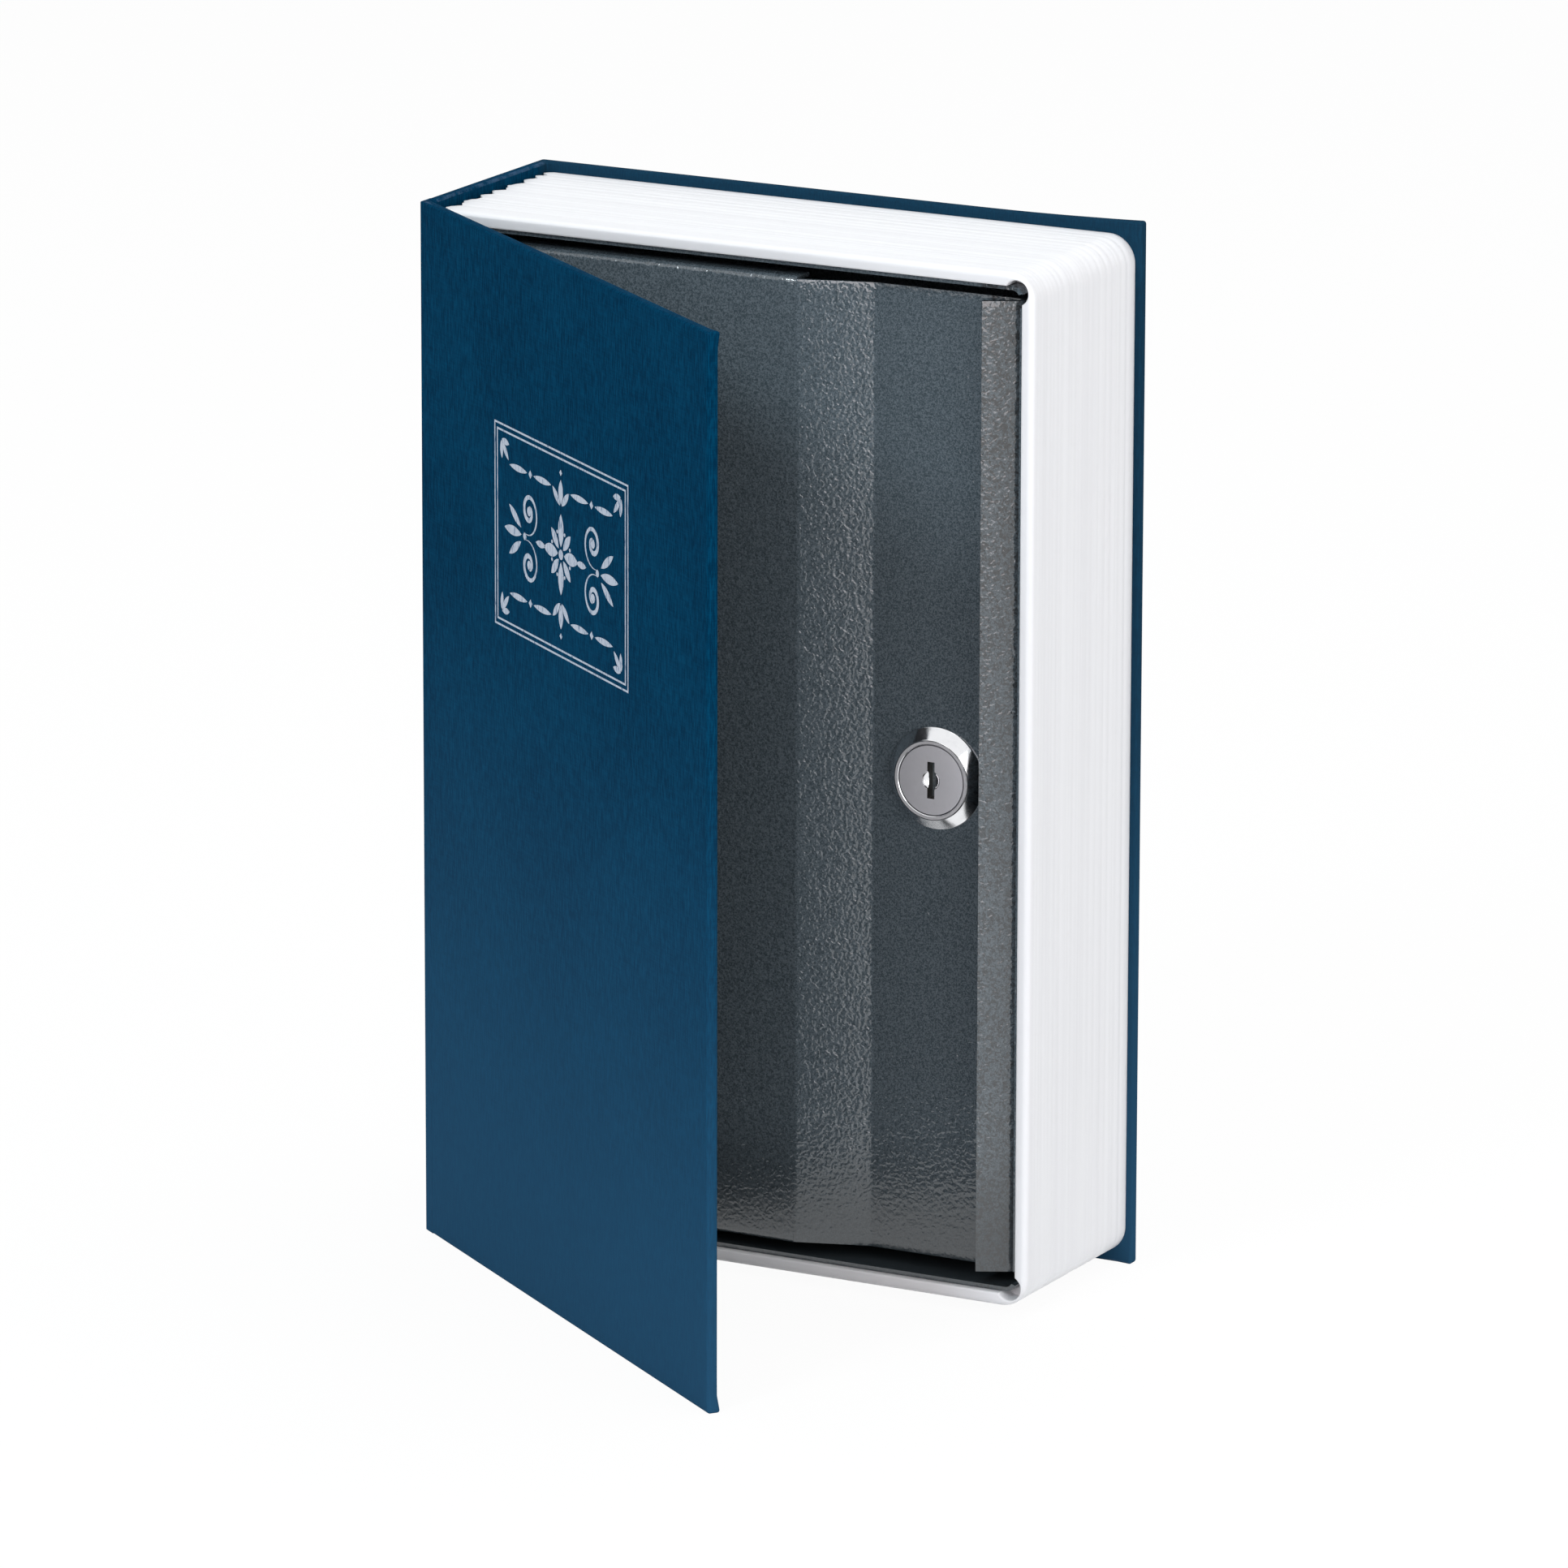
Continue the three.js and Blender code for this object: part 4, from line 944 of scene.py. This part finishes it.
edged("box_body", hammertone)
edged("keeper", hammertone)

# Door
# One sheet of 1 mm steel: a flanged flat by the hinge, a slanted ramp down to the sunk strip
# that holds the lock, and a hooked pull along the free edge.
DOOR_LEFT = 9.6
DOOR_RIGHT = 147.3
DOOR_FRONT = 4.6
DOOR_LOW = 8.8
DOOR_HIGH = 231.2
SHEET = 1.0
RETURN_DEPTH = 5.0
FLANGE_DEPTH = 6.5
FLANGE_START = 3.0
FLANGE_STEP = 0.5
DOOR_ROWS = 50
RAMP_START = 93.3
RAMP_END = 109.8
RECESS_FRONT = 10.0
PULL_START = 139.0
PULL_FRONT = 3.6
PULL_SLOPE = math.tan(math.radians(27.8))
BEND = 1.5
RAMP_BEND = 3.0
PULL_BACK_BEND = 1.2
PULL_FRONT_BEND = 2.1
BEND_STEPS = 10
SHEET_SPACING = 4.0
DOOR_SHARP_ANGLE = 38


def bent_line(corners):
    """Middle line of a bent sheet from (x, y, bend radius) corners."""
    line = []
    for i, (x, y, radius) in enumerate(corners):
        corner = Vector((x, y))
        if not radius:
            line.append(corner)
            continue
        back = (Vector(corners[i - 1][:2]) - corner).normalized()
        ahead = (Vector(corners[i + 1][:2]) - corner).normalized()
        half_angle = math.acos(max(-1, min(1, back.dot(ahead)))) / 2
        centre = corner + (back + ahead).normalized() * radius / math.sin(half_angle)
        first = corner + back * radius / math.tan(half_angle) - centre
        turn = math.pi - 2 * half_angle
        turn = math.copysign(turn, -(back.x * ahead.y - back.y * ahead.x))
        for step in range(BEND_STEPS + 1):
            a = turn * step / BEND_STEPS
            line.append(centre + Vector((first.x * math.cos(a) - first.y * math.sin(a),
                                         first.x * math.sin(a) + first.y * math.cos(a))))
    spaced = [line[0]]
    for point in line[1:]:
        parts = max(1, round((point - spaced[-1]).length / SHEET_SPACING))
        start = spaced[-1]
        spaced += [start.lerp(point, part / parts) for part in range(1, parts + 1)]
    return spaced


half = SHEET / 2
flat_y = DOOR_FRONT + half
door_line = bent_line([
    (DOOR_LEFT + half, DOOR_FRONT + RETURN_DEPTH, 0),
    (DOOR_LEFT + half, flat_y, BEND),
    (RAMP_START, flat_y, RAMP_BEND),
    (RAMP_END, RECESS_FRONT + half, RAMP_BEND),
    (DOOR_RIGHT - half, RECESS_FRONT + half, PULL_BACK_BEND),
    (DOOR_RIGHT - half, PULL_FRONT + half + PULL_SLOPE * (DOOR_RIGHT - 2 * half - PULL_START),
     PULL_FRONT_BEND),
    (PULL_START + half * PULL_SLOPE, PULL_FRONT + half, 0),
])
on_flat = [i for i, p in enumerate(door_line) if abs(p.y - flat_y) < 1e-6]
flange_first, flange_last = on_flat[0], on_flat[-1]
low_level, high_level = DOOR_LOW + FLANGE_START, DOOR_HIGH - FLANGE_START
points, faces = [], []


def sheet_rows(columns, rows):
    """Adds a grid of quads to the door: columns are places in the line, rows give points."""
    first = len(points)
    for row in rows:
        points.extend(row(door_line[i]) for i in columns)
    for r in range(len(rows) - 1):
        for c in range(len(columns) - 1):
            a = first + r * len(columns) + c
            faces.append((a, a + 1, a + 1 + len(columns), a + len(columns)))


def upright(z):
    """A row of the sheet where it stands upright, at one height."""
    return lambda p: (p.x, p.y, z)


def flange_rows(end, side):
    """Rows round the bend at one end of the flat and down its flange."""
    edge = end - side * half
    radius = BEND - half
    rows = [upright(end - side * FLANGE_START), upright(edge - side * radius)]
    for a in quarter(BEND_STEPS)[1:]:
        z, y = edge - side * radius * (1 - math.sin(a)), flat_y + radius * (1 - math.cos(a))
        rows.append(lambda p, y=y, z=z: (p.x, y, z))
    rows.append(lambda p: (p.x, DOOR_FRONT + FLANGE_DEPTH, edge))
    return rows


whole_line = list(range(len(door_line)))
sheet_rows(whole_line, [upright(low_level + (high_level - low_level) * k / DOOR_ROWS)
                        for k in range(DOOR_ROWS + 1)])
for end, side in ((DOOR_HIGH, 1), (DOOR_LOW, -1)):
    sheet_rows(whole_line[flange_first:flange_last + 1], flange_rows(end, side))
    for part in (whole_line[:flange_first + 1], whole_line[flange_last:]):
        sheet_rows(part, [upright(end - side * FLANGE_START), upright(end - side * FLANGE_STEP)])

door = made("door_sheet", points, faces, hammertone)
thickness = door.modifiers.new("thickness", "SOLIDIFY")
thickness.thickness = SHEET * MM
thickness.offset = 0
thickness.use_even_offset = True
round_edges(door, SHEET_EDGE_RADIUS, 50)
settled(door, DOOR_SHARP_ANGLE)
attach(door, "door")
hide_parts("door_panel")

# Lock housing
# A chrome-plated bezel, a threaded barrel with two flats through the door, and the washer and
# nut that hold it from behind.
FACE_RADIUS = 9.1
BASE_RADIUS = 11.7
BASE_RIM = 0.35
FACE_CHAMFER = 0.14
RING_INSET = 0.16
FINE_SIDES = 144
PLUG_FACE_RADIUS = 7.9
PLUG_SEAT = 1.6
RUNNING = 0.25
PLUG_RADIUS = 6.2
BARREL_RADIUS = 9.0
BARREL_FLAT = 7.9
THREAD_PITCH = 1.0
THREAD_DEPTH = 0.45
THREAD_START = 1.2
CONE_EDGE = 0.06
NUT_HALF_FLATS = 11.0
NUT_CORNER = NUT_HALF_FLATS * 2 / math.sqrt(3)
NUT_CHAMFER = 0.6
BORE_CHAMFER = 0.3
WASHER_RADIUS = 12.5
WASHER_EDGE = 0.15
CHROME = ((0.86, 0.87, 0.89, 1), (0.70, 0.71, 0.74, 1))
BEZEL_SATIN = ((0.68, 0.685, 0.71, 1), (0.60, 0.605, 0.63, 1))
ZINC = ((0.62, 0.64, 0.64, 1), (0.45, 0.46, 0.44, 1))
housing_low, housing_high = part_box("lock_housing")
LOCK_X = (housing_low.x + housing_high.x) / 2 / MM - CORNER_X
LOCK_Z = (housing_low.z + housing_high.z) / 2 / MM


def depth_span(node):
    """Front and back of a CAD node, in millimetres back from the hinge corner."""
    low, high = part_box(node)
    return low.y / MM - CORNER_Y, high.y / MM - CORNER_Y


def turned(name, profile, material, limit=None, ends=True, sides=96):
    """Profile of (radius, depth) turned round the lock's axis. limit gives the greatest radius
    at an angle, where there are flats, and without ends the profile is a closed ring's."""
    rings = []
    for radius, y in profile:
        ring = []
        for i in range(sides):
            angle = 2 * math.pi * i / sides
            reach = min(radius, limit(angle)) if limit else radius
            ring.append((LOCK_X + reach * math.cos(angle), y, LOCK_Z + reach * math.sin(angle)))
        rings.append(ring)
    return loft(name, rings, material, ends)


def softened(profile, radius, steps=3):
    """The same profile with its corners rounded."""
    line = [Vector(profile[0])]
    for before, here, after in zip(profile, profile[1:], profile[2:]):
        here, before, after = Vector(here), Vector(before), Vector(after)
        back, ahead = before - here, after - here
        reach = min(radius, back.length * 0.45, ahead.length * 0.45)
        start, end = here + back.normalized() * reach, here + ahead.normalized() * reach
        for step in range(steps + 1):
            t = step / steps
            line.append(start.lerp(here, t).lerp(here.lerp(end, t), t))
    line.append(Vector(profile[-1]))
    return [tuple(point) for point in line]


def plated(name, colours, roughness, scratch, brushed=0.0, metallic=1.0):
    """Plated metal: nearly clean, with fine polishing marks and faint smudges. Its colours are
    those of clean and of smudged metal."""
    material, shader, place = finish(name, {"Metallic": metallic})
    marks = place.stretched(1, 1, 0.2 if brushed else 1).noise(5200, 2, 0.6)
    smudge = place.noise(320, 3, 0.6)
    (smudge.between(0.45, 0.8) * 0.5 + marks * brushed).mix(*colours).into(
        shader, "Base Color")
    (roughness + scratch * smudge.between(0.35, 0.75) + brushed * 0.12 * marks).into(
        shader, "Roughness")
    marks.bump(0.00002, 0.12 + 0.4 * brushed).into(shader, "Normal")
    return material


chrome = plated("chrome_plate", CHROME, roughness=0.08, scratch=0.07)
bezel_satin = plated(
    "bezel_satin", BEZEL_SATIN, roughness=0.40, scratch=0.1, brushed=0.3, metallic=0.45)
zinc = plated("zinc_plate", ZINC, roughness=0.30, scratch=0.15, brushed=0.4)

face_y, barrel_end = depth_span("lock_housing")
plug_front, _ = depth_span("lock_plug")
seat = plug_front + PLUG_SEAT
bore, face_bore = PLUG_RADIUS + RUNNING, PLUG_FACE_RADIUS + RUNNING
thread_bore = BARREL_RADIUS + RUNNING
base_y, rim_y = RECESS_FRONT - 0.02, RECESS_FRONT - BASE_RIM

cone_front = Vector((FACE_RADIUS + CONE_EDGE, face_y + FACE_CHAMFER))
cone_back = Vector((BASE_RADIUS - CONE_EDGE, rim_y - CONE_EDGE))
cone = [tuple(cone_front.lerp(cone_back, t)) for t in (0, 0.03, 0.5, 0.97, 1)]
bezel = turned("lock_bezel", [
    (face_bore, seat), (face_bore, face_y + FACE_CHAMFER), (face_bore + 0.12, face_y),
    (FACE_RADIUS - FACE_CHAMFER, face_y), (FACE_RADIUS - 0.02, face_y + 0.03),
] + cone + [
    (BASE_RADIUS, rim_y + CONE_EDGE), (BASE_RADIUS, base_y), (BARREL_RADIUS - 1, base_y),
    (bore, RECESS_FRONT - 0.5), (bore, seat),
], chrome, ends=False, sides=FINE_SIDES)
ring_bore, ring_radius = face_bore + RING_INSET, FACE_RADIUS - RING_INSET
ring_front, ring_back = face_y - 0.01, face_y + 0.05
bezel_top = turned("lock_bezel_ring", [
    (ring_bore, ring_back), (ring_bore, ring_front),
    (ring_radius, ring_front), (ring_radius, ring_back),
], bezel_satin, ends=False, sides=FINE_SIDES)


def barrel_flat(angle):
    """The barrel's two flats, to the left and right of its axis."""
    return BARREL_FLAT / max(abs(math.cos(angle)), 1e-6)


barrel_front, y = RECESS_FRONT - 0.4, RECESS_FRONT + THREAD_START
thread_root = BARREL_RADIUS - THREAD_DEPTH
thread = [(BARREL_RADIUS, barrel_front), (BARREL_RADIUS, y)]
while y + THREAD_PITCH < barrel_end - 0.5:
    thread += [(thread_root, y + THREAD_PITCH * 0.5), (BARREL_RADIUS, y + THREAD_PITCH)]
    y += THREAD_PITCH
barrel = turned(
    "lock_barrel",
    [(bore, barrel_front)] + thread + [(thread_root, barrel_end), (bore, barrel_end)],
    zinc, barrel_flat, ends=False)
for piece in (bezel, bezel_top, barrel):
    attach(piece, "door")
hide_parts("lock_housing")


def hexagon(angle):
    """The nut's six flats."""
    within = (angle + math.pi / 6) % (math.pi / 3) - math.pi / 6
    return NUT_HALF_FLATS / math.cos(within)


def flat_ring(name, node, bore, radius, edge, sides=96):
    """A zinc-plated washer with softened edges, as deep as a CAD node."""
    front, back = depth_span(node)
    middle = (front + back) / 2
    profile = softened([
        (bore, middle), (bore, front), (radius, front),
        (radius, back), (bore, back), (bore, middle)], edge)
    return turned(name, profile[:-1], zinc, ends=False, sides=sides)


washer = flat_ring("lock_washer_ring", "lock_washer", thread_bore, WASHER_RADIUS, WASHER_EDGE)
front, back = depth_span("lock_nut")
nut = turned("lock_hex_nut", [
    (thread_bore, (front + back) / 2), (thread_bore, front + BORE_CHAMFER),
    (thread_bore + BORE_CHAMFER, front), (NUT_HALF_FLATS, front),
    (NUT_CORNER, front + NUT_CHAMFER), (NUT_CORNER, back - NUT_CHAMFER),
    (NUT_HALF_FLATS, back), (thread_bore + BORE_CHAMFER, back),
    (thread_bore, back - BORE_CHAMFER)], zinc, hexagon, ends=False)
for piece, node in ((washer, "lock_washer"), (nut, "lock_nut")):
    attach(piece, "door")
    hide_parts(node)

# Lock plug
# A die-cast plug with a satin face, a round dish that guides the key into its upright slot,
# and stamped brass wafers across it. Behind the door it carries the cam, held by a screw.
PLUG_HEAD = 1.3
PLUG_EDGE = 0.12
KEY_SLOT = (1.8, 8.4)
KEY_SLOT_RADIUS = 0.12
KEY_SLOT_DEPTH = 13.0
DISH_RADIUS = 2.15
DISH_DEPTH = 1.0
DISH_STEPS = 8
CAM_BORE_RADIUS = 2.25
CAM_WASHER_RADIUS = 6.0
PLUG_SATIN = ((0.61, 0.615, 0.65, 1), (0.54, 0.545, 0.575, 1))
# Painted shade: the key slot's walls get dark metal colours, for the shade deep in the narrow
# slot.
SLOT_SHADE = ((0.25, 0.24, 0.22, 1), (0.10, 0.09, 0.07, 1))
BRASS = ((0.58, 0.43, 0.19, 1), (0.40, 0.28, 0.11, 1))
plug_satin = plated(
    "plug_satin", PLUG_SATIN, roughness=0.46, scratch=0.10, brushed=0.35, metallic=0.4)
slot_shade = plated("painted_slot_shade", SLOT_SHADE, roughness=0.3, scratch=0.2)
brass = plated("wafer_brass", BRASS, roughness=0.28, scratch=0.12, brushed=0.3)
cam_front, _ = depth_span("cam")

head_back, plug_end = plug_front + PLUG_HEAD, cam_front - 0.05
plug = turned("plug", softened([
    (0, plug_front), (PLUG_FACE_RADIUS, plug_front), (PLUG_FACE_RADIUS, head_back),
    (PLUG_RADIUS, head_back), (PLUG_RADIUS, plug_end), (0, plug_end),
], PLUG_EDGE), plug_satin, sides=FINE_SIDES)
dish_y = plug_front + 0.05
dish_rings = [(DISH_RADIUS + 0.4, plug_front - 1.0), (DISH_RADIUS + 0.05, plug_front - 0.02)]
dish_rings += [(DISH_RADIUS * math.cos(a), dish_y + DISH_DEPTH * math.sin(a))
               for a in quarter(DISH_STEPS)[:-1]]
dish_rings.append((0, dish_y + DISH_DEPTH))
cut(plug, turned("dish", dish_rings, chrome, sides=64), keep_finish=True)
half_width, half_height = KEY_SLOT[0] / 2, KEY_SLOT[1] / 2
slot_outline = rounded(four_corners(
    LOCK_X - half_width, LOCK_Z - half_height, LOCK_X + half_width, LOCK_Z + half_height,
    KEY_SLOT_RADIUS), math.inf, steps=3)
slot_rings = [[(p.x, y, p.y) for p in slot_outline]
              for y in (plug_front - 1, plug_front + KEY_SLOT_DEPTH)]
# The slot's walls take the painted shade finish.
cut(plug, loft("key_slot", slot_rings, slot_shade), keep_finish=True)
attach(plug, "lock_core")
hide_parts("lock_plug")
for number in range(1, 6):
    edged(f"wafer_{number}", brass, radius=0.05)

edged("cam", zinc, radius=0.2)
edged("cam_screw", zinc, radius=0.12)
cam_washer = flat_ring(
    "cam_washer_ring", "cam_washer", CAM_BORE_RADIUS, CAM_WASHER_RADIUS, PLUG_EDGE, sides=72)
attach(cam_washer, "lock_core")
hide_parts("cam_washer")

# Hinge pins
# Turned steel pins with zinc plating, riveted into the box's top and bottom walls. The door's
# two flanges turn on them.
for name in ("upper_hinge_pin", "lower_hinge_pin"):
    edged(name, zinc, radius=0.12)
